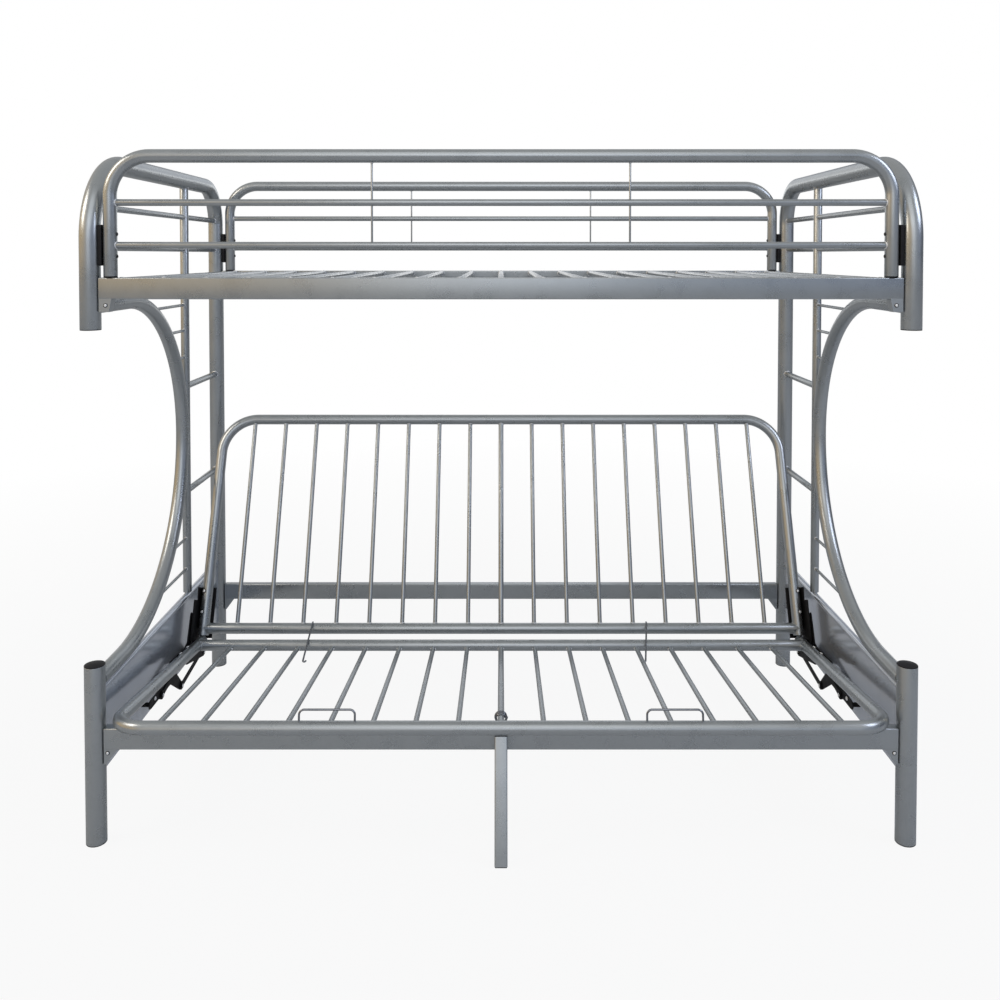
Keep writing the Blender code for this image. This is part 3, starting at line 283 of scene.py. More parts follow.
# Black electrostatic coat on stamped steel plate: dark satin with a slight grain.
BLACK_COAT = Coat(
    name="black_coated_plate", slot="black_steel", light_hex="#161618", dark_hex="#0B0B0C",
    metallic=0.0, smooth_roughness=0.45, rough_roughness=0.58,
    patch_mm=40.0, grain_mm=0.8, grain_height_mm=0.02, specular=0.12,
)
# Moulded polyethylene plug: black, waxy and a little dull, with a spark-eroded skin.
BLACK_MOULDING = Coat(
    name="moulded_black_plastic", slot="black_plastic", light_hex="#1C1C1F", dark_hex="#101011",
    metallic=0.0, smooth_roughness=0.45, rough_roughness=0.60,
    patch_mm=25.0, grain_mm=0.7, grain_height_mm=0.03, specular=0.2,
)
# Drawn wire with nickel plate: dark and white lines along it, as a mirror rod has. Its colour is much darker
# than bright nickel, painted shade that keeps the wire dark.
SHADED_NICKEL_WIRE = Coat(
    name="nickel_wire_painted_shade", slot="bright_wire", light_hex="#8E9197", dark_hex="#6C6F76",
    metallic=1.0, smooth_roughness=0.16, rough_roughness=0.26,
    patch_mm=12.0, grain_mm=0.8, grain_height_mm=0.01,
)
# Zinc-plated bolt: slightly blue-white and finely rough, its colour pushed near white and made less metallic,
# a painted highlight that makes each head a bright dot.
ZINC_AND_HIGHLIGHT = Coat(
    name="zinc_bolt_painted_highlight", slot="bright_wire", light_hex="#F0F2F4", dark_hex="#D2D6DA",
    metallic=0.5, smooth_roughness=0.22, rough_roughness=0.34,
    patch_mm=6.0, grain_mm=0.5, grain_height_mm=0.01,
)
# Black oxide bolt: nearly black, with an oily satin gleam. On the washers under the zinc bolts this black is
# painted shade, the dark ring round each head.
BLACK_OXIDE = Coat(
    name="black_oxide_bolt", slot="black_steel", light_hex="#232326", dark_hex="#141416",
    metallic=0.3, smooth_roughness=0.32, rough_roughness=0.44,
    patch_mm=6.0, grain_mm=0.5, grain_height_mm=0.01,
)


@dataclass
class Surface:
    """The points and faces of one closed surface."""

    points: np.ndarray
    faces: list

    def tilted(self, hinge: tuple[float, float], angle: float) -> "Surface":
        """Turn the surface from its hinge's own frame into the bed's.

        Args:
            hinge: depth and height of the hinge.
            angle: turn about X, from depth towards height, in radians.

        Returns:
            The turned surface: depth = d cos - h sin + the hinge's depth, and
            height = d sin + h cos + the hinge's height.
        """
        depth, height = self.points[:, 1], self.points[:, 2]
        points = self.points.copy()
        points[:, 1] = depth * math.cos(angle) - height * math.sin(angle) + hinge[0]
        points[:, 2] = depth * math.sin(angle) + height * math.cos(angle) + hinge[1]
        return Surface(points, self.faces)


def turned_by(angle: float) -> np.ndarray:
    """The matrix that turns (depth, height) by an angle, from depth towards height."""
    return np.array([[math.cos(angle), -math.sin(angle)], [math.sin(angle), math.cos(angle)]])


def arch(sides: tuple, foot: tuple, head: tuple) -> list:
    """The four corners of an arch from X to X, as (depth, height) at its feet and its head."""
    return [(sides[0], *foot), (sides[0], *head), (sides[1], *head), (sides[1], *foot)]


def rectangle(u: tuple, v: tuple) -> list:
    """The four corners of a rectangle, in order round it, from its low and high u and v."""
    return [(u[0], v[0]), (u[1], v[0]), (u[1], v[1]), (u[0], v[1])]


def line_up(places: np.ndarray, depth: float, height: float) -> np.ndarray:
    """Places at several X that share one depth and one height."""
    return np.stack([places, np.full_like(places, depth), np.full_like(places, height)], axis=1)


def grid_faces(rows: int, columns: int) -> list:
    """Quads of a grid whose columns close on themselves.

    Args:
        rows: points along the grid.
        columns: points round it.

    Returns:
        Index lists of (rows - 1) * columns quads.
    """
    row, column = np.meshgrid(np.arange(rows - 1), np.arange(columns), indexing="ij")
    here, above = row * columns, (row + 1) * columns
    after = (column + 1) % columns
    quads = np.stack([here + column, here + after, above + after, above + column], axis=-1)
    return quads.reshape(-1, 4).tolist()


def fillet(
    before: np.ndarray, corner: np.ndarray, after: np.ndarray, radius: float, steps: int, fitted: bool = False
) -> np.ndarray:
    """The arc that rounds one corner and is tangent to both of its sides.

    Args:
        before: the corner before it.
        corner: the corner.
        after: the corner after it.
        radius: the arc's radius.
        steps: steps in the arc.
        fitted: whether the radius is cut down to what half of the shorter side has room for.

    Returns:
        Points centre - inward * r cos(a) + arriving * r sin(a), with a from 0 to the turn.
    """
    arriving, leaving = corner - before, after - corner
    room = min(np.linalg.norm(arriving), np.linalg.norm(leaving)) / 2
    arriving = arriving / np.linalg.norm(arriving)
    leaving = leaving / np.linalg.norm(leaving)
    turn = math.acos(float(np.clip(arriving @ leaving, -1, 1)))
    if fitted:
        radius = min(radius, room / math.tan(turn / 2))
    inward = leaving - arriving * (arriving @ leaving)
    inward /= np.linalg.norm(inward)
    centre = corner - arriving * radius * math.tan(turn / 2) + inward * radius
    angles = np.linspace(0, turn, steps + 1)[:, None]
    return centre - inward * radius * np.cos(angles) + arriving * radius * np.sin(angles)


def bent_path(corners: list, radii: tuple, steps: int = 32) -> np.ndarray:
    """A centre line through corners, with an arc at each bend.

    Args:
        corners: places that the straight runs would meet at.
        radii: the bend radius at each inner corner.
        steps: steps in each arc.

    Returns:
        The first place, the arcs and the last place.
    """
    places = np.array(corners, float)
    arcs = [fillet(*bend, steps) for bend in zip(places, places[1:], places[2:], radii)]
    return np.concatenate([places[:1], *arcs, places[-1:]])


def rounded_outline(corners: list, radius: float, steps: int = 5) -> np.ndarray:
    """A closed outline with every corner rounded.

    Args:
        corners: (u, v) corners in order.
        radius: the rounding, cut down where a side is short.
        steps: steps in each rounding.

    Returns:
        The arcs of all the corners, in order.
    """
    places = np.array(corners, float)
    turns = zip(np.roll(places, 1, axis=0), places, np.roll(places, -1, axis=0))
    return np.concatenate([fillet(*turn, radius, steps, True) for turn in turns])


def circles(side: np.ndarray, up: np.ndarray, sides: int) -> np.ndarray:
    """Unit directions round one or more circles, cos(a) side + sin(a) up."""
    angles = np.linspace(0, TURN, sides, endpoint=False)[:, None]
    return np.cos(angles) * side[..., None, :] + np.sin(angles) * up[..., None, :]


def swept_tube(
    path: np.ndarray, radius: float, across: tuple, sides: int, edge: float = TUBE_EDGE
) -> Surface:
    """A round tube along a centre line, with rounded and closed ends.

    Args:
        path: centre-line points.
        radius: the tube's radius.
        across: a direction that the path never runs along.
        sides: points round the section.
        edge: rounding of each end's edge.

    Returns:
        Points centre + r (cos(a) side + sin(a) up), where r shrinks to zero over each end.
    """
    tangents = np.gradient(path, axis=0)
    tangents[0] = path[1] - path[0]
    tangents[-1] = path[-1] - path[-2]
    tangents /= np.linalg.norm(tangents, axis=1)[:, None]
    round_off = np.linspace(0, QUARTER_TURN, EDGE_STEPS + 1)
    face = (radius - edge) * np.array(FACE_RINGS)
    rims = np.concatenate([face, radius - edge + edge * np.sin(round_off)])
    insets = np.concatenate([np.zeros_like(face), edge * (1 - np.cos(round_off))])
    start = path[0] + tangents[0] * insets[:, None]
    end = path[-1] - tangents[-1] * insets[::-1, None]
    centres = np.concatenate([start, path[1:-1], end])
    repeats = np.ones(len(path), int)
    repeats[[0, -1]] = len(insets)
    along = np.repeat(tangents, repeats, 0)
    reach = np.concatenate([rims, np.full(len(path) - 2, radius), rims[::-1]])
    side = np.cross(along, across)
    side /= np.linalg.norm(side, axis=1)[:, None]
    ring = circles(side, np.cross(side, along), sides)
    points = centres[:, None, :] + ring * reach[:, None, None]
    return Surface(points.reshape(-1, 3), grid_faces(len(centres), sides))


def straight_rod(start: tuple, end: tuple, radius: float, sides: int, edge: float = BAR_EDGE) -> Surface:
    """A straight round bar, as a tube swept between two places.

    Args:
        start: one end of its axis.
        end: the other end.
        radius: its radius.
        sides: points round it.
        edge: rounding of its ends.

    Returns:
        The bar.
    """
    axis = np.subtract(end, start)
    across = RIGHTWARD if abs(axis[0]) < np.linalg.norm(axis) / 2 else UPWARD
    return swept_tube(np.array([start, end]), radius, across, sides, edge)


def lathed(place: tuple, axis: tuple, profile: np.ndarray, sides: int) -> Surface:
    """A profile turned about an axis.

    Args:
        place: the profile's zero on the axis.
        axis: unit direction that the profile's heights run along.
        profile: (radius, height) rows that start and end on the axis.
        sides: points round it.

    Returns:
        Points place + h axis + r (cos(a) side + sin(a) up).
    """
    direction = np.array(axis, float)
    side = np.cross(direction, RIGHTWARD if abs(direction[0]) < 0.5 else UPWARD)
    side /= np.linalg.norm(side)
    ring = circles(side, np.cross(side, direction), sides)
    radii, heights = profile[:, 0, None, None], profile[:, 1, None, None]
    points = np.array(place, float) + heights * direction + radii * ring
    return Surface(points.reshape(-1, 3), grid_faces(len(profile), sides))


def slab(outline: np.ndarray, low: float, high: float, edge: float, axes: tuple, steps: int = 3) -> Surface:
    """A flat outline extruded along the third axis, with rounded edges and flat faces.

    Args:
        outline: (u, v) points in order.
        low: the lower face's place along the third axis.
        high: the upper face's place.
        edge: rounding of both faces' edges.
        axes: which of x, depth and height u, v and the extrusion run along.
        steps: steps in the rounding.

    Returns:
        Rows of the outline moved inwards by edge (1 - sin(a)) at height edge (1 - cos(a)).
    """
    following = np.roll(outline, -1, axis=0)
    before = outline - np.roll(outline, 1, axis=0)
    after = following - outline
    before /= np.linalg.norm(before, axis=1)[:, None]
    after /= np.linalg.norm(after, axis=1)[:, None]
    area = np.sum(outline[:, 0] * following[:, 1] - following[:, 0] * outline[:, 1])
    normal = np.stack([-(before + after)[:, 1], (before + after)[:, 0]], axis=1) * np.sign(area)
    normal /= np.linalg.norm(normal, axis=1)[:, None]
    mitre = np.abs(np.sum(normal * np.stack([-after[:, 1], after[:, 0]], axis=1), axis=1))
    stretch = 1 / np.clip(mitre, LEAST_MITRE, 1)
    angles = np.linspace(0, QUARTER_TURN, steps + 1)
    insets = edge * (1 - np.sin(angles))
    rises = edge * (1 - np.cos(angles))
    insets = np.concatenate([insets, insets[::-1]])
    heights = np.concatenate([low + rises, high - rises[::-1]])
    count, rows = len(outline), len(heights)
    points = np.zeros((rows, count, 3))
    points[:, :, axes[:2]] = outline[None] + normal[None] * (stretch[None, :, None] * insets[:, None, None])
    points[:, :, axes[2]] = heights[:, None]
    last = (rows - 1) * count
    faces = [*grid_faces(rows, count), list(range(count)), list(range(last, last + count))]
    return Surface(points.reshape(-1, 3), faces)


def box_slab(low: tuple, high: tuple, corner: float, edge: float, thin_axis: int) -> Surface:
    """A box with rounded corners and edges, extruded along its thin axis.

    Args:
        low: its lowest corner.
        high: its highest corner.
        corner: rounding of the four corners of its broad faces.
        edge: rounding of the broad faces' edges.
        thin_axis: 0, 1 or 2 for x, depth or height.

    Returns:
        The box.
    """
    u, v = (axis for axis in range(3) if axis != thin_axis)
    outline = rounded_outline(rectangle((low[u], high[u]), (low[v], high[v])), corner)
    return slab(outline, low[thin_axis], high[thin_axis], edge, (u, v, thin_axis))


def weld_beads(
    seats: list, bar_axis: tuple, tube_axis: tuple, bar_radius: float, tube_radius: float,
    offset: float = 0.0, bead: float = BEAD_RADIUS,
) -> Surface:
    """Small lumpy beads where bars of one size meet a tube or a flat.

    Args:
        seats: places where the bars' axes meet the tube's axis, one for each bar.
        bar_axis: unit direction from the tube's axis out along the bars.
        tube_axis: unit direction of the tube.
        bar_radius: the bars' radius.
        tube_radius: the tube's radius, or zero where the bars meet a flat at the seat.
        offset: how far the bars' axes lie to the side of the tube's axis.
        bead: the bead's radius.

    Returns:
        For each bar, a ring on the curve where bar and tube meet. At angle a round the bar the
        curve stands sqrt(R squared - (offset + r cos a) squared) from the tube's axis, and the
        bead's radius swells and shrinks with cos(7a) and cos(3a) and a phase that differs from
        bar to bar.
    """
    along, tube = np.array(bar_axis, float), np.array(tube_axis, float)
    turns, rounds = BEAD_STEPS
    round_bar = np.linspace(0, TURN, turns, endpoint=False)
    radial = circles(np.cross(along, tube), tube, turns)
    lateral = offset + bar_radius * np.cos(round_bar)
    stand = np.sqrt(np.maximum(tube_radius**2 - lateral**2, 0))
    curve = bar_radius * radial + stand[:, None] * along
    phase = np.arange(len(seats))[:, None] * BEAD_PHASE
    swell = BEAD_SWELLS[0] * np.cos(7 * round_bar + phase) + BEAD_SWELLS[1] * np.cos(3 * round_bar - phase)
    size = bead * (1 + swell)
    ring = size[:, :, None, None] * circles(radial, np.broadcast_to(along, radial.shape), rounds)
    points = np.asarray(seats)[:, None, None, :] + curve[None, :, None, :] + ring
    bar, i, j = np.meshgrid(*(np.arange(count) for count in points.shape[:3]), indexing="ij")
    row, next_row = (bar * turns + i) * rounds, (bar * turns + (i + 1) % turns) * rounds
    next_j = (j + 1) % rounds
    quads = np.stack([row + j, next_row + j, next_row + next_j, row + next_j], axis=-1)
    return Surface(points.reshape(-1, 3), quads.reshape(-1, 4).tolist())


def place_piece(name: str, surfaces: list, coat: Coat, body: str, nodes: tuple = ()) -> None:
    """Make one finished piece, hang it on the body that it rides on and hide the CAD nodes that it stands
    for.

    Args:
        name: the piece's name.
        surfaces: the closed surfaces that it is made of.
        coat: its finish.
        body: the body that it moves with.
        nodes: the CAD nodes that it stands for.
    """
    starts = np.cumsum([0] + [len(surface.points) for surface in surfaces]).tolist()
    points = np.concatenate([surface.points for surface in surfaces])
    points[:, 1] += FRONT_Y
    faces = [
        [index + start for index in face]
        for surface, start in zip(surfaces, starts)
        for face in surface.faces
    ]
    mesh = bpy.data.meshes.new(name)
    mesh.from_pydata(points.tolist(), [], faces)
    work = bmesh.new()
    work.from_mesh(mesh)
    bmesh.ops.remove_doubles(work, verts=work.verts, dist=MERGE_DISTANCE)
    bmesh.ops.recalc_face_normals(work, faces=work.faces)
    for face in work.faces:
        face.smooth = True
    for edge in work.edges:
        flat_beside = any(len(face.verts) > 4 for face in edge.link_faces)
        edge.smooth = not flat_beside and edge.calc_face_angle(0.0) < SHARP_ANGLE
    work.to_mesh(mesh)
    work.free()
    mesh.materials.append(coat.material())
    piece = bpy.data.objects.new(name, mesh)
    bpy.context.scene.collection.objects.link(piece)
    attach(piece, body)
    if nodes:
        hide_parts(*nodes)
    LOG.info("%s rides on %s: %d faces", name, body, len(mesh.polygons))


def dress(node: str, suffix: str, surfaces: list, coat: Coat, body: str = "frame") -> None:
    """Make the finished piece that stands for one CAD node and carries its name."""
    place_piece(f"{node}_{suffix}", surfaces, coat, body, (node,))


@dataclass(frozen=True)
class BedSizes:
    """The sizes that more than one sub-assembly takes its place from."""

    length: float = 1.9812
    end_depth: float = 1.0414
    height: float = 1.6509
    gap: float = 0.0003
    post_radius: float = 0.0240
    rail_thickness: float = 0.0254
    rail_height: float = 0.0508
    upper_rail_top: float = 1.3490
    lower_rail_top: float = 0.2794
    hinge: tuple = (0.6474, 0.211749)
    seat_tilt: float = math.radians(6.47)
    back_angle: float = math.radians(67.82)
    futon_side_x: float = 0.9110
    futon_tube_radius: float = 0.0160
    hinge_drop: float = 0.0120
    slat_gaps_each_side: int = 9

    @property
    def post_x(self) -> float:
        """X of the posts' centre lines."""
        return self.length / 2 - self.post_radius

    @property
    def rear_depth(self) -> float:
        """Depth of the rear posts' centre lines."""
        return self.end_depth - 2 * self.post_radius

    @property
    def post_face(self) -> float:
        """Distance from a post's centre line to what butts against it."""
        return self.post_radius + self.gap

    @property
    def rail_end(self) -> float:
        """X of the rails' ends."""
        return self.post_x - self.post_face

    @property
    def slat_pitch(self) -> float:
        """Distance between the futon's slats."""
        return self.futon_side_x / self.slat_gaps_each_side

    def row_depth(self, row: Row) -> float:
        """Depth of a row of rails."""
        return 0.0 if row is Row.FRONT else self.rear_depth


BED = BedSizes()


@dataclass(frozen=True)
class Bolt:
    """A domed bolt head with a round drive recess, on a flat washer where it has one."""

    radius: float
    height: float
    washer_radius: float = 0.0
    washer_height: float = 0.0
    recess_share: float = 0.42
    rim_share: float = 1.1

    def head(self, place: tuple, axis: tuple) -> Surface:
        """The head on its washer or on a face.

        Args:
            place: the middle of the head or washer on the face.
            axis: unit direction out of that face.

        Returns:
            A lathed dome, h = height cos(a) at r = radius sin(a), with a flat-bottomed recess.
        """
        angles = np.linspace(0, QUARTER_TURN, DOME_STEPS + 1)
        dome = np.stack([self.radius * np.sin(angles), self.height * np.cos(angles)], axis=1)
        recess = self.radius * self.recess_share
        dome = dome[dome[:, 0] > recess * self.rim_share]
        floor = np.array([[0.0, 0.35], [0.95, 0.35], [1.0, 0.42]]) * (recess, self.height)
        foot = np.array([[1.0, -0.2], [0.0, -0.2]]) * (self.radius, self.height)
        profile = np.concatenate([floor, [[recess, dome[0, 1]]], dome, foot])
        return lathed(np.add(place, np.multiply(axis, self.washer_height)), axis, profile, SLAT_SIDES)

    def washer(self, place: tuple, axis: tuple) -> Surface:
        """The washer, with a chamfered rim and sunk by half its height into the face."""
        disc = np.array([[0.0, 1.0], [0.9, 1.0], [1.0, 0.5], [1.0, -0.5], [0.0, -0.5]])
        return lathed(place, axis, disc * (self.washer_radius, self.washer_height), SLAT_SIDES)


@dataclass(frozen=True)
class Plug:
    """A moulded plug for the open end of a tube."""

    tube_radius: float
    wall: float
    lip: float
    stem: float
    dome: float = 0.0

    def surface(self, place: tuple, axis: tuple) -> Surface:
        """The plug, with a lip as wide as the tube and a stem that fits inside its wall.

        Args:
            place: the middle of the face.
            axis: unit direction that the face looks along.

        Returns:
            A lathed plug, whose face is dome (1 - (r / R) squared) high.
        """
        edge = min(self.lip, PLUG_EDGE_MOST) * PLUG_EDGE_SHARE
        flat, stem_radius = self.tube_radius - edge, self.tube_radius - self.wall - BED.gap
        bottom = -self.lip - self.stem
        shares = np.linspace(0, 1, DOME_STEPS + 1)
        face = np.stack([flat * shares, self.dome * (1 - shares**2)], axis=1)
        angles = np.linspace(0, QUARTER_TURN, LIP_STEPS + 1)[1:]
        rim = np.stack([flat + edge * np.sin(angles), edge * np.cos(angles) - edge], axis=1)
        rest = [[self.tube_radius, -self.lip], [stem_radius, -self.lip], [stem_radius, bottom], [0.0, bottom]]
        return lathed(place, axis, np.concatenate([face, rim, rest]), TUBE_SIDES)


@dataclass(frozen=True)
class EndAssembly:
    """One end: the bent frame, the front post, the C tube, the ladder and the side panel."""

    side: Side
    rear_bend: float = 0.125
    front_bend: float = 0.190
    upper_post_bottom: float = 1.227
    lower_post_top: float = 0.427
    plug: Plug = Plug(BED.post_radius, wall=0.002, lip=0.0015, stem=0.014)
    cap: Plug = Plug(BED.post_radius, wall=0.002, lip=0.0015, stem=0.014, dome=0.0035)
    c_radius: float = 0.0190
    c_top: float = 1.281
    c_low: float = 0.384
    c_reach: float = 0.640
    c_top_bend: float = 0.414
    stile_radius: float = 0.0127
    rung_radius: float = 0.0095
    rung_heights: tuple = (1.000, 0.677)
    bar_radius: float = 0.0080
    bar_heights: tuple = (1.517, 1.420)
    spindle_radius: float = 0.0043
    spindle_heights: tuple = (1.250, 1.172, 1.090, 0.533, 0.439)
    spindle_seat_share: float = 0.8
    spindle_bead: float = 0.0013
    panel_thickness: float = 0.0020
    panel_setback: float = 0.0056
    panel_bottom: float = 0.157
    panel_corner: float = 0.0020
    panel_edge: float = 0.0005
    panel_rail_radius: float = 0.0095

    @property
    def x(self) -> float:
        """X of this end's posts."""
        return self.side.sign * BED.post_x

    @property
    def c_low_bend(self) -> float:
        """Radius of the C tube's lower bend."""
        return self.c_top - self.c_low - self.c_top_bend

    @property
    def stile_depth(self) -> float:
        """Depth of the stile's centre line."""
        return self.c_reach + self.c_radius + BED.gap + self.stile_radius

    @property
    def panel_rail_height(self) -> float:
        """Height of the tube along the panel's top."""
        return self.c_low - self.c_radius - BED.gap - self.panel_rail_radius

    def build(self) -> None:
        """Build every piece of this end."""
        self.end_frame()
        self.front_post()
        self.c_tube()
        self.ladder()
        self.side_panel()
        self.welds()

    def node(self, name: str) -> str:
        """A node's name on this side."""
        return f"{name}_{self.side.value}"

    def seat(self, depth: float, height: float) -> tuple[float, float, float]:
        """A place in the plane of this end's posts."""
        return (self.x, depth, height)

    def mouldings(self, plug: Plug, places: dict, axis: tuple) -> None:
        """Plugs of one kind, from the place of each node's face and the way they look."""
        for name, (depth, height) in places.items():
            dress(self.node(name), "moulding", [plug.surface(self.seat(depth, height), axis)], BLACK_MOULDING)

    def end_frame(self) -> None:
        """The rear post, top and upper front post in one bent tube, and its plugs."""
        foot, top = self.plug.lip + BED.gap, BED.height - BED.post_radius
        corners = [
            self.seat(BED.rear_depth, foot), self.seat(BED.rear_depth, top),
            self.seat(0.0, top), self.seat(0.0, self.upper_post_bottom),
        ]
        path = bent_path(corners, (self.rear_bend, self.front_bend), steps=40)
        tube = swept_tube(path, BED.post_radius, RIGHTWARD, POST_SIDES)
        dress(self.node("end_frame"), "tube", [tube], SILVER_COAT)
        under = self.upper_post_bottom - BED.gap - self.plug.lip
        places = {"foot_plug_rear": (BED.rear_depth, 0.0), "upper_post_plug": (0.0, under)}
        self.mouldings(self.plug, places, DOWNWARD)

    def front_post(self) -> None:
        """The short front post with its foot plug and domed cap."""
        ends = self.seat(0.0, self.plug.lip + BED.gap), self.seat(0.0, self.lower_post_top)
        tube = straight_rod(*ends, BED.post_radius, POST_SIDES, TUBE_EDGE)
        dress(self.node("front_post"), "tube", [tube], SILVER_COAT)
        self.mouldings(self.plug, {"foot_plug_front": (0.0, 0.0)}, DOWNWARD)
        self.mouldings(self.cap, {"post_cap": (0.0, self.lower_post_top + BED.gap + self.cap.lip)}, UPWARD)

    def c_tube(self) -> None:
        """The C-shaped tube from the upper post to the lower post."""
        corners = [
            self.seat(BED.post_face, self.c_top), self.seat(self.c_reach, self.c_top),
            self.seat(self.c_reach, self.c_low), self.seat(BED.post_face, self.c_low),
        ]
        path = bent_path(corners, (self.c_top_bend, self.c_low_bend), steps=48)
        tube = swept_tube(path, self.c_radius, RIGHTWARD, TUBE_SIDES)
        dress(self.node("c_tube"), "tube", [tube], SILVER_COAT)

    def c_line(self, height: float) -> float:
        """Depth of the C tube's centre line at a spindle's height.

        Args:
            height: the spindle's height, within one of the two bends.

        Returns:
            The reach less the bend's radius, plus sqrt(radius squared - rise squared).
        """
        join = self.c_low + self.c_low_bend
        bend = self.c_top_bend if height > join else self.c_low_bend
        return self.c_reach - bend + math.sqrt(bend**2 - (height - join) ** 2)

    def bend_inset(self, height: float, bend: float) -> float:
        """How far the bent frame's centre line has left its post's at a height.

        Args:
            height: the height.
            bend: the radius of the bend over that post.

        Returns:
            Zero under the bend, and radius - sqrt(radius squared - rise squared) in it.
        """
        rise = height - (BED.height - BED.post_radius - bend)
        return 0.0 if rise <= 0 else bend - math.sqrt(bend**2 - rise**2)

    def front_line(self, height: float) -> float:
        """Depth of the bent frame's front centre line at a height."""
        return self.bend_inset(height, self.front_bend)

    def rear_line(self, height: float) -> float:
        """Depth of the bent frame's rear centre line at a height."""
        return BED.rear_depth - self.bend_inset(height, self.rear_bend)

    def ladder(self) -> None:
        """The stile, its rungs, its spindles and the guard bars across the end."""
        depth = self.stile_depth
        bottom = self.panel_rail_height + self.panel_rail_radius + BED.gap
        top = BED.height - 2 * BED.post_radius - BED.gap
        rods = [(depth, bottom, depth, top, self.stile_radius, STILE_SIDES)]
        for z in self.rung_heights:
            rods.append((depth, z, BED.rear_depth - BED.post_face, z, self.rung_radius, RUNG_SIDES))
        for z in self.bar_heights:
            front, rear = self.front_line(z) + BED.post_face, self.rear_line(z) - BED.post_face
            rods.append((front, z, rear, z, self.bar_radius, BAR_SIDES))
        for z in self.spindle_heights:
            start = self.c_line(z) + self.c_radius * self.spindle_seat_share
            rods.append((start, z, depth, z, self.spindle_radius, PIN_SIDES))
        pieces = [straight_rod(self.seat(*rod[:2]), self.seat(*rod[2:4]), *rod[4:]) for rod in rods]
        dress(self.node("end_ladder"), "bars", pieces, SILVER_COAT)

    def side_panel(self) -> None:
        """The glossy sheet and the tube along its top."""
        front, rear = BED.post_face, BED.rear_depth - BED.post_face
        top = self.panel_rail_height
        rail = straight_rod(self.seat(front, top), self.seat(rear, top), self.panel_rail_radius, RUNG_SIDES)
        sheet_x = self.side.sign * (BED.post_x - self.panel_setback)
        half = self.panel_thickness / 2
        low = (sheet_x - half, front + BED.gap, self.panel_bottom)
        high = (sheet_x + half, rear - BED.gap, top)
        sheet = box_slab(low, high, self.panel_corner, self.panel_edge, 0)
        dress(self.node("side_panel"), "sheet", [rail, sheet], SHEET_COAT)

    def welds(self) -> None:
        """The beads where rungs, bars and spindles meet their tubes."""
        depth, stile, post = self.stile_depth, self.stile_radius, BED.post_radius
        rungs = [self.seat(depth, z) for z in self.rung_heights]
        far_rungs = [self.seat(BED.rear_depth, z) for z in self.rung_heights]
        bars = [self.seat(depth, z) for z in self.bar_heights]
        far_bars = [self.seat(self.rear_line(z), z) for z in self.bar_heights]
        near_bars = [self.seat(self.front_line(z), z) for z in self.bar_heights]
        beads = [
            weld_beads(rungs, REARWARD, UPWARD, self.rung_radius, stile),
            weld_beads(far_rungs, FORWARD, UPWARD, self.rung_radius, post),
            weld_beads(bars, REARWARD, UPWARD, self.bar_radius, stile),
            weld_beads(bars, FORWARD, UPWARD, self.bar_radius, stile),
            weld_beads(far_bars, FORWARD, UPWARD, self.bar_radius, post),
            weld_beads(near_bars, REARWARD, UPWARD, self.bar_radius, post),
        ]
        spindle = {"bar_radius": self.spindle_radius, "bead": self.spindle_bead}
        spindles = [self.seat(depth, z) for z in self.spindle_heights]
        beads.append(weld_beads(spindles, FORWARD, UPWARD, tube_radius=stile, **spindle))
        for z in self.spindle_heights:
            near = [self.seat(self.c_line(z), z)]
            beads.append(weld_beads(near, REARWARD, UPWARD, tube_radius=self.c_radius, **spindle))
        top = [self.seat(depth, BED.height - post)]
        beads.append(weld_beads(top, DOWNWARD, REARWARD, stile, post))
        place_piece(self.node("end_welds"), beads, WELD_HIGHLIGHT_COAT, "frame")


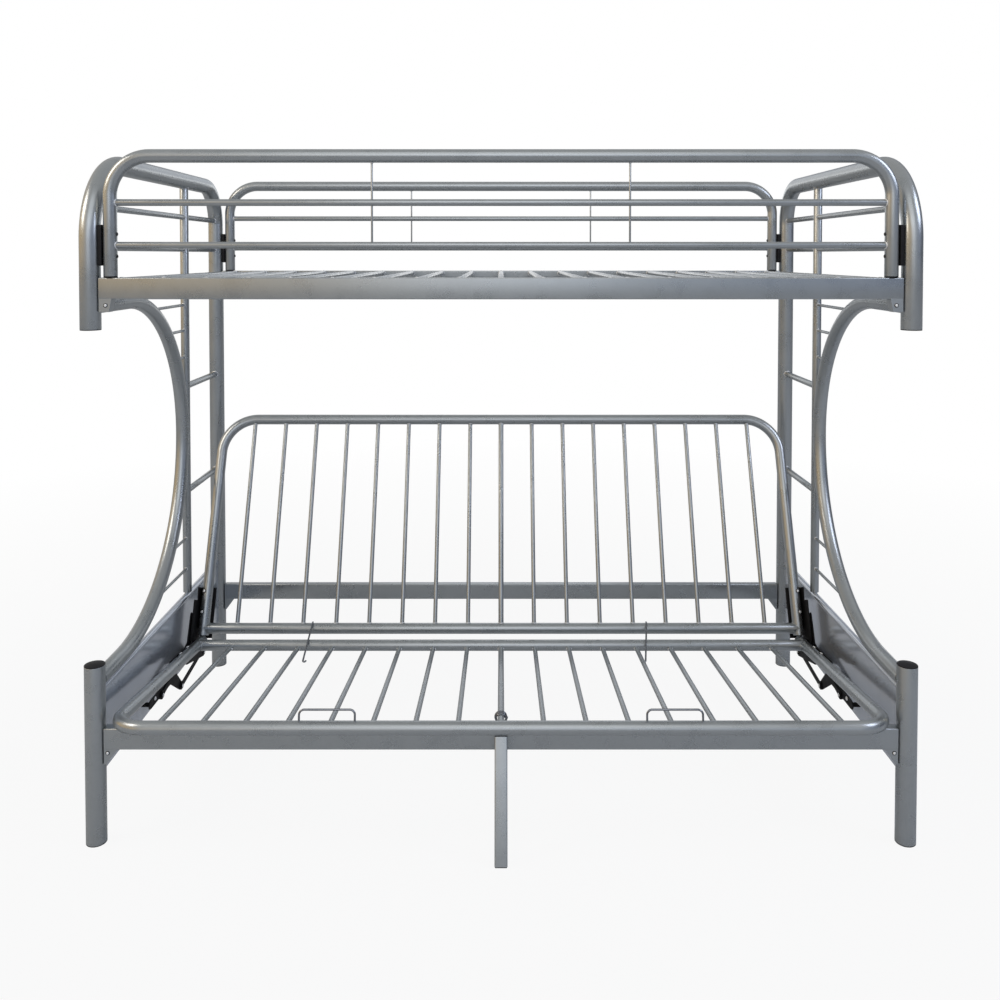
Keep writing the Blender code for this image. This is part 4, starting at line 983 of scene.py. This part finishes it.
@dataclass(frozen=True)
class Rails:
    """The four rectangular rails with their end brackets and bolts."""

    corner: float = 0.0030
    end_edge: float = 0.0004
    bracket_edge: float = 0.0006
    bracket_setback: float = 0.0004
    bracket_overlap: float = 0.0060
    tab_width: float = 0.030
    tab_toe_share: float = 0.8
    tab_drop: float = 0.030
    gusset_reach: float = 0.0310
    gusset_drop: float = 0.0356
    gusset_toe: float = 0.0047
    bolt_places: tuple = ((0.926, 1.284), (0.933, 0.221))
    bolt: Bolt = Bolt(0.0036, 0.0022, 0.0052, 0.0008)

    def build(self) -> None:
        """Build the upper and lower rails of both rows."""
        tab = self.bracket(self.tab_width, self.tab_width * self.tab_toe_share, self.tab_drop)
        gusset = self.bracket(self.gusset_reach, self.gusset_toe, self.gusset_drop)
        for row in Row:
            self.rail(f"upper_rail_{row.value}", BED.upper_rail_top, tab, row)
            self.rail(f"lower_rail_{row.value}", BED.lower_rail_top, gusset, row)
            self.bolts(row)

    def bracket(self, reach: float, toe: float, drop: float) -> list:
        """The outline of a right-hand bracket.

        Args:
            reach: its length along the rail.
            toe: its length at the bottom.
            drop: how far it hangs under the rail.

        Returns:
            Corners, as X and height over the rail's bottom.
        """
        end, over = BED.rail_end, self.bracket_overlap
        return [(end, -drop), (end - toe, -drop), (end - reach, 0.0), (end - reach, over), (end, over)]

    def rail(self, node: str, top: float, bracket: list, row: Row) -> None:
        """One rounded rail and the brackets under its two ends.

        Args:
            node: the rail's node.
            top: height of the rail's top.
            bracket: outline of the right-hand bracket.
            row: the row that it is in.
        """
        bottom, depth = top - BED.rail_height, BED.row_depth(row)
        front, rear = depth - BED.rail_thickness / 2, depth + BED.rail_thickness / 2
        section = rounded_outline(rectangle((front, rear), (bottom, top)), self.corner, 6)
        pieces = [slab(section, -BED.rail_end, BED.rail_end, self.end_edge, (1, 2, 0), 2)]
        for side in Side:
            outline = [(side.sign * x, bottom + rise) for x, rise in bracket]
            rounded = rounded_outline(outline, self.bracket_edge * 2)
            low, high = front + self.bracket_setback, rear - self.bracket_setback
            pieces.append(slab(rounded, low, high, self.bracket_edge, (0, 2, 1)))
        dress(node, "tube", pieces, SILVER_COAT)

    def bolts(self, row: Row) -> None:
        """The zinc bolts, near white with painted highlight, and the washers, black as painted shade round
        the heads, on the outer face of a row's end brackets.

        Args:
            row: the row of rails.
        """
        axis = FORWARD if row is Row.FRONT else REARWARD
        face = BED.row_depth(row) + axis[1] * (BED.rail_thickness / 2 - self.bracket_setback)
        places = [(side.sign * x, face, z) for x, z in self.bolt_places for side in Side]
        heads = [self.bolt.head(place, axis) for place in places]
        # The washers are black as painted shade: the dark ring round each bolt head.
        shade_washers = [self.bolt.washer(place, axis) for place in places]
        place_piece(f"rail_bolts_{row.value}", heads, ZINC_AND_HIGHLIGHT, "frame")
        place_piece(f"rail_washers_{row.value}", shade_washers, BLACK_OXIDE, "frame")


@dataclass(frozen=True)
class UpperDeck:
    """The slatted deck of the upper bunk."""

    pitch: float = 0.0998
    slats_each_side: int = 9
    slat_radius: float = 0.0080
    runner_thickness: float = 0.0030
    runner_height: float = 0.0250
    runner_corner: float = 0.0010
    runner_edge: float = 0.0006
    end_clearance: float = 0.0100

    def build(self) -> None:
        """Build the two runners, the slats and the beads at their ends."""
        front = BED.rail_thickness / 2 + BED.gap
        rear = BED.rear_depth - front
        inner_front, inner_rear = front + self.runner_thickness, rear - self.runner_thickness
        height = BED.upper_rail_top - self.slat_radius
        low, high = height - self.runner_height / 2, height + self.slat_radius / 2
        end_x = BED.rail_end - self.end_clearance
        pieces = [
            box_slab((-end_x, near, low), (end_x, far, high), self.runner_corner, self.runner_edge, 1)
            for near, far in ((front, inner_front), (inner_rear, rear))
        ]
        places = np.arange(-self.slats_each_side, self.slats_each_side + 1) * self.pitch
        start, end = front + self.runner_thickness / 2, rear - self.runner_thickness / 2
        for x in places:
            pieces.append(straight_rod((x, start, height), (x, end, height), self.slat_radius, SLAT_SIDES))
        dress("upper_deck", "slats", pieces, SILVER_COAT)
        beads = [
            weld_beads(line_up(places, depth, height), direction, RIGHTWARD, self.slat_radius, 0.0)
            for depth, direction in ((inner_front, REARWARD), (inner_rear, FORWARD))
        ]
        place_piece("upper_deck_welds", beads, WELD_HIGHLIGHT_COAT, "frame")


@dataclass(frozen=True)
class GuardRail:
    """One guard rail with its plugs, spacers and bolts."""

    row: Row
    radius: float = 0.0159
    top: float = 1.6500
    bend: float = 0.094
    bar_radius: float = 0.0080
    bar_heights: tuple = (1.525, 1.425)
    wire_radius: float = 0.0025
    wire_share: float = 0.33
    wire_bead: float = 0.0012
    spacer_thickness: float = 0.0081
    spacer_depth: float = 0.0260
    spacer_bottom: float = 1.377
    spacer_top: float = 1.473
    spacer_corner: float = 0.0040
    spacer_edge: float = 0.0010
    plug: Plug = Plug(radius, wall=0.0015, lip=0.0024, stem=0.020)
    bolt: Bolt = Bolt(0.0048, 0.0030)
    bolt_inset: float = 0.022
    bolt_sink_share: float = 0.97

    @property
    def x(self) -> float:
        """X of the guard tube's uprights."""
        return BED.rail_end - self.spacer_thickness - BED.gap - self.radius

    @property
    def depth(self) -> float:
        """Depth of the guard tube's centre line."""
        return BED.row_depth(self.row)

    def build(self) -> None:
        """Build the rail and what holds it."""
        self.tube()
        for side in Side:
            self.foot(side)
            self.spacer(side)
        self.bolts()

    def tube(self) -> None:
        """The bent tube, its bars, its two thin uprights and their beads."""
        bottom, top = BED.upper_rail_top + self.plug.lip + 2 * BED.gap, self.top - self.radius
        corners = arch((-self.x, self.x), (self.depth, bottom), (self.depth, top))
        path = bent_path(corners, (self.bend, self.bend), steps=36)
        pieces = [swept_tube(path, self.radius, REARWARD, TUBE_SIDES)]
        for z in self.bar_heights:
            ends = (-self.x, self.depth, z), (self.x, self.depth, z)
            pieces.append(straight_rod(*ends, self.bar_radius, BAR_SIDES))
        beads = []
        for side in Side:
            x = side.sign * self.x * self.wire_share
            low, roof = (x, self.depth, min(self.bar_heights)), (x, self.depth, top)
            pieces.append(straight_rod(low, roof, self.wire_radius, WIRE_SIDES))
            seats = [(side.sign * self.x, self.depth, z) for z in self.bar_heights]
            beads.append(weld_beads(seats, side.inward, UPWARD, self.bar_radius, self.radius))
            beads.append(
                weld_beads([roof], DOWNWARD, RIGHTWARD, self.wire_radius, self.radius, bead=self.wire_bead)
            )
        dress(f"guard_rail_{self.row.value}", "tube", pieces, SILVER_COAT)
        place_piece(f"guard_welds_{self.row.value}", beads, WELD_HIGHLIGHT_COAT, "frame")

    def foot(self, side: Side) -> None:
        """The plug under one upright, standing on the upper rail."""
        moulding = self.plug.surface((side.sign * self.x, self.depth, BED.upper_rail_top + BED.gap), DOWNWARD)
        dress(f"guard_plug_{self.row.value}_{side.value}", "moulding", [moulding], BLACK_MOULDING)

    def spacer(self, side: Side) -> None:
        """The block between one upright and its post, with rounded edges.

        Args:
            side: the end of the bed that it is at.
        """
        half, half_depth = self.spacer_thickness / 2, self.spacer_depth / 2
        middle = side.sign * (BED.rail_end - half)
        low = (middle - half, self.depth - half_depth, self.spacer_bottom)
        high = (middle + half, self.depth + half_depth, self.spacer_top)
        block = box_slab(low, high, self.spacer_corner, self.spacer_edge, 0)
        dress(f"guard_spacer_{self.row.value}_{side.value}", "moulding", [block], BLACK_MOULDING)

    def bolts(self) -> None:
        """The black bolt heads on the uprights' inner faces, two to a spacer."""
        face = self.x - self.radius * self.bolt_sink_share
        heights = (self.spacer_bottom + self.bolt_inset, self.spacer_top - self.bolt_inset)
        heads = [
            self.bolt.head((side.sign * face, self.depth, z), side.inward) for side in Side for z in heights
        ]
        place_piece(f"guard_bolts_{self.row.value}", heads, BLACK_OXIDE, "frame")


@dataclass(frozen=True)
class CentreLeg:
    """The leaning middle leg, its plug and its shoe."""

    width: float = 0.030
    depth: float = 0.020
    top: float = 0.269
    length: float = 1.0
    lean: float = math.radians(13.9)
    plug_lip: float = 0.0042
    plug_edge: float = 0.0006
    shoe_height: float = 0.0020
    shoe_inset: float = 0.0008
    corner: float = 0.0025
    end_edge: float = 0.0004

    @property
    def top_depth(self) -> float:
        """Depth of the leg's top, clear of the lower front rail."""
        overhang = (BED.gap + self.plug_lip) * math.sin(self.lean)
        return -(BED.rail_thickness / 2 + BED.gap + self.depth / 2 * math.cos(self.lean) + overhang)

    def build(self) -> None:
        """Build the leg's tube, plug and shoe."""
        half_width, half_depth = self.width / 2, self.depth / 2
        corners = rectangle((-half_width, half_width), (-half_depth, half_depth))
        profile = rounded_outline(corners, self.corner)
        self.tube(profile)
        lip = slab(profile, BED.gap, BED.gap + self.plug_lip, self.plug_edge, (0, 1, 2))
        lip = lip.tilted((self.top_depth, self.top), -self.lean)
        dress("centre_leg_plug", "moulding", [lip], BLACK_MOULDING)
        foot = self.top_depth - self.top * math.tan(self.lean)
        foot_half = half_depth / math.cos(self.lean)
        shoe_top = foot + math.tan(self.lean) * self.shoe_height
        reach = half_width - self.shoe_inset
        low = (-reach, min(foot, shoe_top) - foot_half + self.shoe_inset, 0.0)
        high = (reach, shoe_top + foot_half - self.shoe_inset, self.shoe_height)
        shoe = box_slab(low, high, self.corner, self.plug_edge, 2)
        dress("centre_leg_shoe", "moulding", [shoe], BLACK_MOULDING)

    def tube(self, profile: np.ndarray) -> None:
        """The leaning tube, made too long and cut level by sliding its lower rows along it.

        Args:
            profile: the tube's section.
        """
        tube = slab(profile, -self.length, 0.0, self.end_edge, (0, 1, 2))
        tube = tube.tilted((self.top_depth, self.top), -self.lean)
        rows = tube.points.reshape(-1, len(profile), 3)
        lower = rows[: len(rows) // 2]
        floor = self.shoe_height + BED.gap
        lower[..., 1] += (floor - lower[..., 2]) / math.cos(self.lean) * math.sin(self.lean)
        lower[..., 2] = floor
        dress("centre_leg", "tube", [tube], SILVER_COAT)


@dataclass(frozen=True)
class FutonFrame:
    """One hinged half of the futon: a bent tube, a cross tube and slats."""

    half: Half
    toward: int
    angle: float
    reach: float
    inner: float
    tail: float
    corner: float
    slat_rise: float
    bolt_reaches: tuple
    slat_radius: float = 0.00635
    centre_slat_radius: float = 0.0080
    cross_bead: float = 0.0014
    cross_bead_stand: float = 1.02
    bolt: Bolt = Bolt(0.0046, 0.0026, 0.0066, 0.0012)
    bolt_turn: float = math.radians(25)
    bolt_sink_share: float = 0.97

    def tilted(self, surface: Surface) -> Surface:
        """Turn a surface from this half's frame into the bed's."""
        return surface.tilted(BED.hinge, self.angle)

    def build(self) -> None:
        """Build the tube, slats, beads and bracket bolts."""
        z, radius, side_x = BED.hinge_drop, BED.futon_tube_radius, BED.futon_side_x
        tail, near, far = (self.toward * place for place in (self.tail, self.inner, self.reach))
        path = bent_path(arch((-side_x, side_x), (tail, z), (far, z)), (self.corner, self.corner))
        pieces = [
            swept_tube(path, radius, UPWARD, TUBE_SIDES),
            straight_rod((-side_x, near, z), (side_x, near, z), radius, TUBE_SIDES),
        ]
        numbers = np.arange(1 - BED.slat_gaps_each_side, BED.slat_gaps_each_side)
        places = numbers * BED.slat_pitch
        slat_z = z + self.slat_rise
        for number, x in zip(numbers, places):
            slat_radius = self.slat_radius if number else self.centre_slat_radius
            pieces.append(straight_rod((x, near, slat_z), (x, far, slat_z), slat_radius, SLAT_SIDES))
        stand = radius * self.cross_bead_stand
        for side in Side:
            seat = [(side.sign * side_x, near, z)]
            pieces.append(weld_beads(seat, side.inward, REARWARD, radius, stand, bead=self.cross_bead))
        surfaces = [self.tilted(piece) for piece in pieces]
        dress(f"{self.half.value}_frame", "tubes", surfaces, SILVER_COAT, self.half.value)
        self.welds(places[numbers != 0], near, far)
        self.bolts()

    def welds(self, places: np.ndarray, near: float, far: float) -> None:
        """The beads at the slats' ends, made bright by their painted highlight.

        Args:
            places: X of the slats other than the middle one.
            near: the cross tube's place along this half.
            far: the outer tube's place along this half.
        """
        surfaces = []
        for slat_places, slat_radius in ((places, self.slat_radius), (np.zeros(1), self.centre_slat_radius)):
            for depth, direction in ((near, float(self.toward)), (far, -float(self.toward))):
                beads = weld_beads(
                    line_up(slat_places, depth, BED.hinge_drop), (0.0, direction, 0.0), RIGHTWARD,
                    slat_radius, BED.futon_tube_radius, offset=self.slat_rise * direction,
                )
                beads.points[:, 2] += self.slat_rise
                surfaces.append(self.tilted(beads))
        place_piece(f"{self.half.value}_welds", surfaces, WELD_HIGHLIGHT_COAT, self.half.value)

    def bolts(self) -> None:
        """The bracket bolts' heads, near white with painted highlight, and washers, black as painted shade
        round them, on the side tubes, turned a little outwards.
        """
        sunk = BED.futon_tube_radius * self.bolt_sink_share
        # The washers are black as painted shade: the dark ring round each bolt head.
        heads, shade_washers = [], []
        for side in Side:
            axis = (side.sign * math.sin(self.bolt_turn), 0.0, math.cos(self.bolt_turn))
            x, z = side.sign * BED.futon_side_x + axis[0] * sunk, BED.hinge_drop + axis[2] * sunk
            for reach in self.bolt_reaches:
                place = (x, self.toward * reach, z)
                heads.append(self.tilted(self.bolt.head(place, axis)))
                shade_washers.append(self.tilted(self.bolt.washer(place, axis)))
        place_piece(f"{self.half.value}_bolts", heads, ZINC_AND_HIGHLIGHT, self.half.value)
        place_piece(f"{self.half.value}_washers", shade_washers, BLACK_OXIDE, self.half.value)


SEAT = FutonFrame(
    Half.SEAT, toward=-1, angle=-BED.seat_tilt, reach=0.7100, inner=0.0567, tail=0.0120,
    corner=0.080, slat_rise=-0.0050, bolt_reaches=(0.129, 0.190),
)
BACK = FutonFrame(
    Half.BACK, toward=1, angle=BED.back_angle, reach=0.6934, inner=0.0444, tail=0.0240,
    corner=0.110, slat_rise=0.0, bolt_reaches=(0.092, 0.153),
)


@dataclass(frozen=True)
class SeatWires:
    """The wire stops, the wire hooks and the wire ring on the seat."""

    stop_radius: float = 0.0025
    stop_width: float = 0.130
    stop_height: float = 0.0250
    stop_corner: float = 0.0120
    stop_pitches_out: int = 4
    stop_seat_share: float = 0.96
    hook_radius: float = 0.0026
    hook_top_shares: tuple = (-0.6333, 0.4883)
    hook_low_shares: tuple = (-0.6360, 0.4645)
    hook_high_end: float = math.radians(92)
    hook_overhang: float = 0.0755
    hook_curl: float = 0.0042
    curl_steps: int = 24
    catch_steps: int = 16
    ring_radius: float = 0.0015
    ring_turns: int = 3
    ring_outer: float = 0.0170
    ring_wire_gap: float = 0.0007
    ring_setback: float = 0.0600
    ring_edge: float = 0.0006
    ring_steps: int = 72

    def build(self) -> None:
        """Build the stops, the hooks and the ring."""
        for side in Side:
            self.stop(side)
            self.hook(side)
        self.ring()

    def stop(self, side: Side) -> None:
        """One wire hoop on the seat's front tube.

        Args:
            side: the end of the bed that it is nearer to.
        """
        x, half = side.sign * self.stop_pitches_out * BED.slat_pitch, self.stop_width / 2
        base = BED.hinge_drop + BED.futon_tube_radius * self.stop_seat_share
        top = BED.hinge_drop + BED.futon_tube_radius + BED.gap + self.stop_height
        corners = arch((x - half, x + half), (-SEAT.reach, base), (-SEAT.reach, top))
        path = bent_path(corners, (self.stop_corner, self.stop_corner), steps=16)
        hoop = SEAT.tilted(swept_tube(path, self.stop_radius, REARWARD, PIN_SIDES))
        dress(f"mattress_stop_{side.value}", "wire", [hoop], SHADED_NICKEL_WIRE, "seat")

    def hook(self, side: Side) -> None:
        """One wire hook: a catch over the back's lower tube, a straight shank and a curl.

        In the plane of the curl, with a from half a turn to zero, the wire runs through
        (curl (1 - cos a), curl sin a) beyond the shank's end.

        Args:
            side: the end of the bed that it is nearer to.
        """
        number = 0 if side is Side.LEFT else 1
        top_x = self.hook_top_shares[number] * BED.futon_side_x
        low_x = self.hook_low_shares[number] * BED.futon_side_x
        grip = BED.futon_tube_radius + BED.gap + self.hook_radius
        rear_tube = np.array([-SEAT.inner, BED.hinge_drop])
        back_tube = turned_by(BED.back_angle + BED.seat_tilt) @ np.array([BACK.inner, BED.hinge_drop])
        run = back_tube - rear_tube
        slope = math.atan2(run[1], run[0])
        upper = np.linspace(slope + QUARTER_TURN, self.hook_high_end, self.catch_steps + 1)[:, None]
        catch = back_tube + grip * np.concatenate([np.cos(upper), np.sin(upper)], axis=1)
        angle = np.linspace(2 * QUARTER_TURN, 0, self.curl_steps + 1)
        beyond = self.hook_overhang + self.hook_curl * np.sin(angle)
        local = np.stack([-beyond, np.full_like(beyond, grip)], axis=1)
        curl = rear_tube + local @ turned_by(slope).T
        curl_x = low_x - math.copysign(self.hook_curl, low_x) * (1 - np.cos(angle))
        across = np.concatenate([curl_x, np.full(len(catch), top_x)])[:, None]
        path = np.concatenate([across, np.concatenate([curl, catch])], axis=1)
        leaning = (0.0, -math.sin(slope), math.cos(slope))
        wire = SEAT.tilted(swept_tube(path, self.hook_radius, leaning, WIRE_SIDES))
        dress(f"mattress_hook_{side.value}", "wire", [wire], SHADED_NICKEL_WIRE, "seat")

    def ring(self) -> None:
        """The ring of wire on the centre slat, a coil whose turns open out as they advance."""
        first = SEAT.centre_slat_radius + BED.gap + self.ring_radius
        last = self.ring_outer - self.ring_radius
        advance = 2 * self.ring_radius + self.ring_wire_gap
        start = SEAT.reach - BED.futon_tube_radius - BED.gap - self.ring_setback
        share = np.linspace(0, 1, self.ring_steps * self.ring_turns + 1)
        angle = TURN * self.ring_turns * share
        radius = first + (last - first) * share
        depth = advance * self.ring_turns * share - start
        height = BED.hinge_drop + SEAT.slat_rise + radius * np.sin(angle)
        path = np.stack([radius * np.cos(angle), depth, height], axis=1)
        coil = SEAT.tilted(swept_tube(path, self.ring_radius, REARWARD, WIRE_SIDES, self.ring_edge))
        dress("slat_ring", "wire", [coil], SHADED_NICKEL_WIRE, "seat")


@dataclass(frozen=True)
class FoldMechanism:
    """One side's black plates, which stay as packed, and their pin ends and bolts, bright with painted
    highlight.
    """

    side: Side
    plates: tuple = ("mechanism_base", "rear_rocker", "front_link", "seat_bracket", "back_bracket")
    base_pivots: tuple = ((0.516, 0.143), (0.3565, 0.1892))
    seat_pivot: tuple = (0.700, 0.165)
    arm_bolt_place: tuple = (0.310, 0.201)
    arm_bolt: Bolt = Bolt(0.0056, 0.0034)
    base_face: float = 0.9372
    base_pin_face: float = 0.9311
    seat_pin_face: float = 0.9245
    pin_end_radius: float = 0.0050
    pin_end_height: float = 0.0014
    pin_end_steps: int = 6

    def build(self) -> None:
        """Coat the plates and add what shines on them."""
        side = self.side.value
        for name in self.plates:
            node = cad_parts[f"{name}_{side}"]
            for slot in node.material_slots:
                slot.material = BLACK_COAT.material()
            LOG.info("%s is coated black", node.name)
        bolt_place = (self.side.sign * self.base_face, *self.arm_bolt_place)
        bolt = self.arm_bolt.head(bolt_place, self.side.inward)
        ends = [self.pin_end(self.base_pin_face, place) for place in self.base_pivots]
        place_piece(f"base_pin_ends_{side}", [bolt, *ends], ZINC_AND_HIGHLIGHT, "frame")
        rocker_end = self.pin_end(self.seat_pin_face, self.seat_pivot)
        place_piece(f"rocker_pin_end_{side}", [rocker_end], ZINC_AND_HIGHLIGHT, f"rocker_{side}")
        hinge_end = self.pin_end(self.seat_pin_face, BED.hinge)
        place_piece(f"hinge_pin_end_{side}", [hinge_end], ZINC_AND_HIGHLIGHT, "back")

    def pin_end(self, face: float, place: tuple) -> Surface:
        """The bare, slightly domed end of a pin, in the middle of its head.

        Args:
            face: distance of the head's face from the bed's middle.
            place: depth and height of the pin.

        Returns:
            A lathed dome, h = height cos(a) at r = radius sin(a), sunk by its height.
        """
        angles = np.linspace(0, QUARTER_TURN, self.pin_end_steps + 1)
        dome = np.stack([np.sin(angles), np.cos(angles)], axis=1)
        shares = np.concatenate([dome, [[1.0, -1.0], [0.0, -1.0]]])
        profile = shares * (self.pin_end_radius, self.pin_end_height)
        return lathed((self.side.sign * face, *place), self.side.inward, profile, PIN_SIDES)


@dataclass(frozen=True)
class Softbox:
    """A square soft lamp at a place, turned to the middle of the bed."""

    name: str
    place: tuple
    size: float
    power: float
    colour_hex: str = "#FFFFFF"
    aim: tuple = (0.0, 0.5, 0.8)

    def build(self) -> None:
        """Hang the lamp."""
        data = bpy.data.lights.new(self.name, "AREA")
        data.size = self.size
        data.energy = self.power
        data.color = linear_colour(self.colour_hex)[:3]
        lamp = bpy.data.objects.new(self.name, data)
        lamp.location = (self.place[0], self.place[1] + FRONT_Y, self.place[2])
        direction = Vector(np.subtract(self.aim, self.place).tolist())
        lamp.rotation_euler = direction.to_track_quat("-Z", "Y").to_euler()
        bpy.context.scene.collection.objects.link(lamp)


@dataclass(frozen=True)
class Studio:
    """The floor, the lamps, the world and the camera.

    The walls are colours by azimuth in degrees, from the front towards the right. The spans are
    where a share starts and ends: the floor's shadow by distance from the bed, the ceiling by a
    ray's rise, and the white backdrop by its run to the rear and its rise.
    """

    camera_depth: float = -2.245
    camera_height: float = 1.402
    camera_fall: float = math.radians(1.6)
    sensor: float = 36.0
    focal: float = 34.374
    shift_x: float = -0.001
    shift_y: float = -0.2183
    white_hex: str = "#FFFFFF"
    ceiling_hex: str = "#C5C5C4"
    walls: tuple = (
        (-180, "#8792A4"), (-125, "#C9BEAE"), (-105, "#FFDCA8"), (-70, "#FFDAA2"), (-42, "#FFDFB0"),
        (-18, "#EEE6DC"), (3, "#F6F9FF"), (20, "#D2DAE8"), (42, "#A0ACC4"), (64, "#8E9AB2"),
        (82, "#3E4658"), (130, "#3E4454"), (180, "#8792A4"),
    )
    ceiling_span: tuple = (0.12, 0.70)
    backdrop_rear_span: tuple = (0.55, 0.75)
    backdrop_rise_span: tuple = (0.22, 0.08)
    floor_reach: float = 30.0
    floor_hex: str = "#B9BCC1"
    floor_roughness: float = 0.9
    floor_specular: float = 0.1
    floor_glow: float = 0.08
    shadow_share: float = 0.09
    shadow_span: tuple = (1.4, 4.5)
    lamps: tuple = (
        Softbox("left_softbox", (-3.3, -0.8, 2.9), 1.5, 34.0, "#FFF3E4"),
        Softbox("right_softbox", (3.3, -0.8, 2.9), 1.5, 34.0, "#E6ECFF"),
        Softbox("top_softbox", (0.0, -2.8, 3.8), 3.0, 20.0),
        Softbox("front_softbox", (-0.3, -5.4, 2.7), 3.4, 20.0, "#F4F7FF"),
        Softbox("rear_softbox", (0.0, 4.6, 2.6), 2.4, 10.0),
    )

    def build(self) -> None:
        """Set up the whole studio."""
        self.camera()
        self.floor()
        self.world()
        for lamp in self.lamps:
            lamp.build()
        bpy.context.scene.view_settings.view_transform = "Standard"

    def camera(self) -> None:
        """The camera at the photograph's viewing angle."""
        data = bpy.data.cameras.new("photo_camera")
        data.sensor_fit = "HORIZONTAL"
        data.sensor_width = self.sensor
        data.lens = self.focal
        data.shift_x = self.shift_x
        data.shift_y = self.shift_y
        camera = bpy.data.objects.new("photo_camera", data)
        camera.location = (0.0, self.camera_depth + FRONT_Y, self.camera_height)
        camera.rotation_euler = (QUARTER_TURN - self.camera_fall, 0.0, 0.0)
        bpy.context.scene.collection.objects.link(camera)
        bpy.context.scene.camera = camera

    def floor(self) -> None:
        """A pale floor that the camera sees as white, with a share of its own light for shadow.

        The share fades out between two distances from the bed, so that the floor meets the
        white of the world without a line.
        """
        mesh = bpy.data.meshes.new("studio_floor")
        reach = (-self.floor_reach, self.floor_reach)
        mesh.from_pydata([(x, y, 0.0) for x, y in rectangle(reach, reach)], [], [(0, 1, 2, 3)])
        material = bpy.data.materials.new("white_paper_floor")
        material.use_nodes = True
        tree = material.node_tree
        paper = tree.nodes["Principled BSDF"]
        fill_inputs(tree, paper, {
            "Base Color": linear_colour(self.floor_hex),
            "Roughness": self.floor_roughness,
            "Specular IOR Level": self.floor_specular,
        })
        rays = add_node(tree, "ShaderNodeLightPath").outputs
        mirrors = {0: rays["Is Glossy Ray"], 1: rays["Is Transmission Ray"]}
        mirrored = add_node(tree, "ShaderNodeMath", mirrors, operation="MAXIMUM").outputs[0]
        glow = {0: mirrored, 1: self.floor_glow}
        dimmed = add_node(tree, "ShaderNodeMath", glow, operation="MULTIPLY").outputs[0]
        views = {0: rays["Is Camera Ray"], 1: dimmed}
        seen = add_node(tree, "ShaderNodeMath", views, operation="MAXIMUM").outputs[0]
        place = {"Vector": add_node(tree, "ShaderNodeTexCoord").outputs["Object"]}
        distance = add_node(tree, "ShaderNodeVectorMath", place, operation="LENGTH").outputs["Value"]
        fade = {
            "Value": distance, "From Min": self.shadow_span[0], "From Max": self.shadow_span[1],
            "To Min": 1 - self.shadow_share, "To Max": 1.0,
        }
        share = add_node(tree, "ShaderNodeMapRange", fade).outputs["Result"]
        factor = add_node(tree, "ShaderNodeMath", {0: seen, 1: share}, operation="MULTIPLY").outputs[0]
        light = {"Color": linear_colour(self.white_hex), "Strength": 1.0}
        white = add_node(tree, "ShaderNodeEmission", light).outputs["Emission"]
        mixed = add_node(tree, "ShaderNodeMixShader", {0: factor, 1: paper.outputs["BSDF"], 2: white})
        fill_inputs(tree, tree.nodes["Material Output"], {"Surface": mixed.outputs["Shader"]})
        mesh.materials.append(material)
        floor = bpy.data.objects.new("studio_floor", mesh)
        bpy.context.scene.collection.objects.link(floor)

    def world(self) -> None:
        """A room with a warm wall at the left, a cool dim one at the right and a white backdrop.

        The camera sees white everywhere. Every other ray sees the walls by its azimuth, mixed
        to the ceiling as it rises, and the white backdrop where it runs level to the rear.
        """
        world = bpy.data.worlds.new("studio_world")
        bpy.context.scene.world = world
        world.use_nodes = True
        tree = world.node_tree
        direction = add_node(tree, "ShaderNodeTexCoord").outputs["Generated"]
        parts = add_node(tree, "ShaderNodeSeparateXYZ", {"Vector": direction}).outputs
        forward = add_node(tree, "ShaderNodeMath", {0: parts["Y"], 1: -1.0}, operation="MULTIPLY")
        sides = {0: parts["X"], 1: forward.outputs[0]}
        azimuth = add_node(tree, "ShaderNodeMath", sides, operation="ARCTAN2").outputs[0]
        spans = (
            (azimuth, (-math.pi, math.pi)),
            (parts["Y"], self.backdrop_rear_span),
            (parts["Z"], self.backdrop_rise_span),
            (parts["Z"], self.ceiling_span),
        )
        ranges = ({"Value": value, "From Min": span[0], "From Max": span[1]} for value, span in spans)
        place, rear, low, rise = (
            add_node(tree, "ShaderNodeMapRange", inputs).outputs["Result"] for inputs in ranges
        )
        walls = add_node(tree, "ShaderNodeValToRGB", {"Fac": place})
        stops = walls.color_ramp.elements
        for number, (degrees, hex_colour) in enumerate(self.walls):
            position = (degrees + 180) / 360
            stop = stops[number] if number < 2 else stops.new(position)
            stop.position = position
            stop.color = linear_colour(hex_colour)
        backdrop = add_node(tree, "ShaderNodeMath", {0: rear, 1: low}, operation="MULTIPLY").outputs[0]
        seen = add_node(tree, "ShaderNodeLightPath").outputs["Is Camera Ray"]
        colour = walls.outputs["Color"]
        layers = ((rise, self.ceiling_hex), (backdrop, self.white_hex), (seen, self.white_hex))
        for share, hex_colour in layers:
            layer = {"Fac": share, "Color1": colour, "Color2": linear_colour(hex_colour)}
            colour = add_node(tree, "ShaderNodeMixRGB", layer).outputs["Color"]
        fill_inputs(tree, tree.nodes["Background"], {"Color": colour})


def main() -> None:
    """Build every sub-assembly in order, then the studio."""
    logging.basicConfig(level=logging.INFO, format="%(name)s: %(message)s")
    for side in Side:
        EndAssembly(side).build()
    Rails().build()
    UpperDeck().build()
    for row in Row:
        GuardRail(row).build()
    CentreLeg().build()
    SEAT.build()
    BACK.build()
    SeatWires().build()
    for side in Side:
        FoldMechanism(side).build()
    Studio().build()


if __name__ == "__main__":
    main()
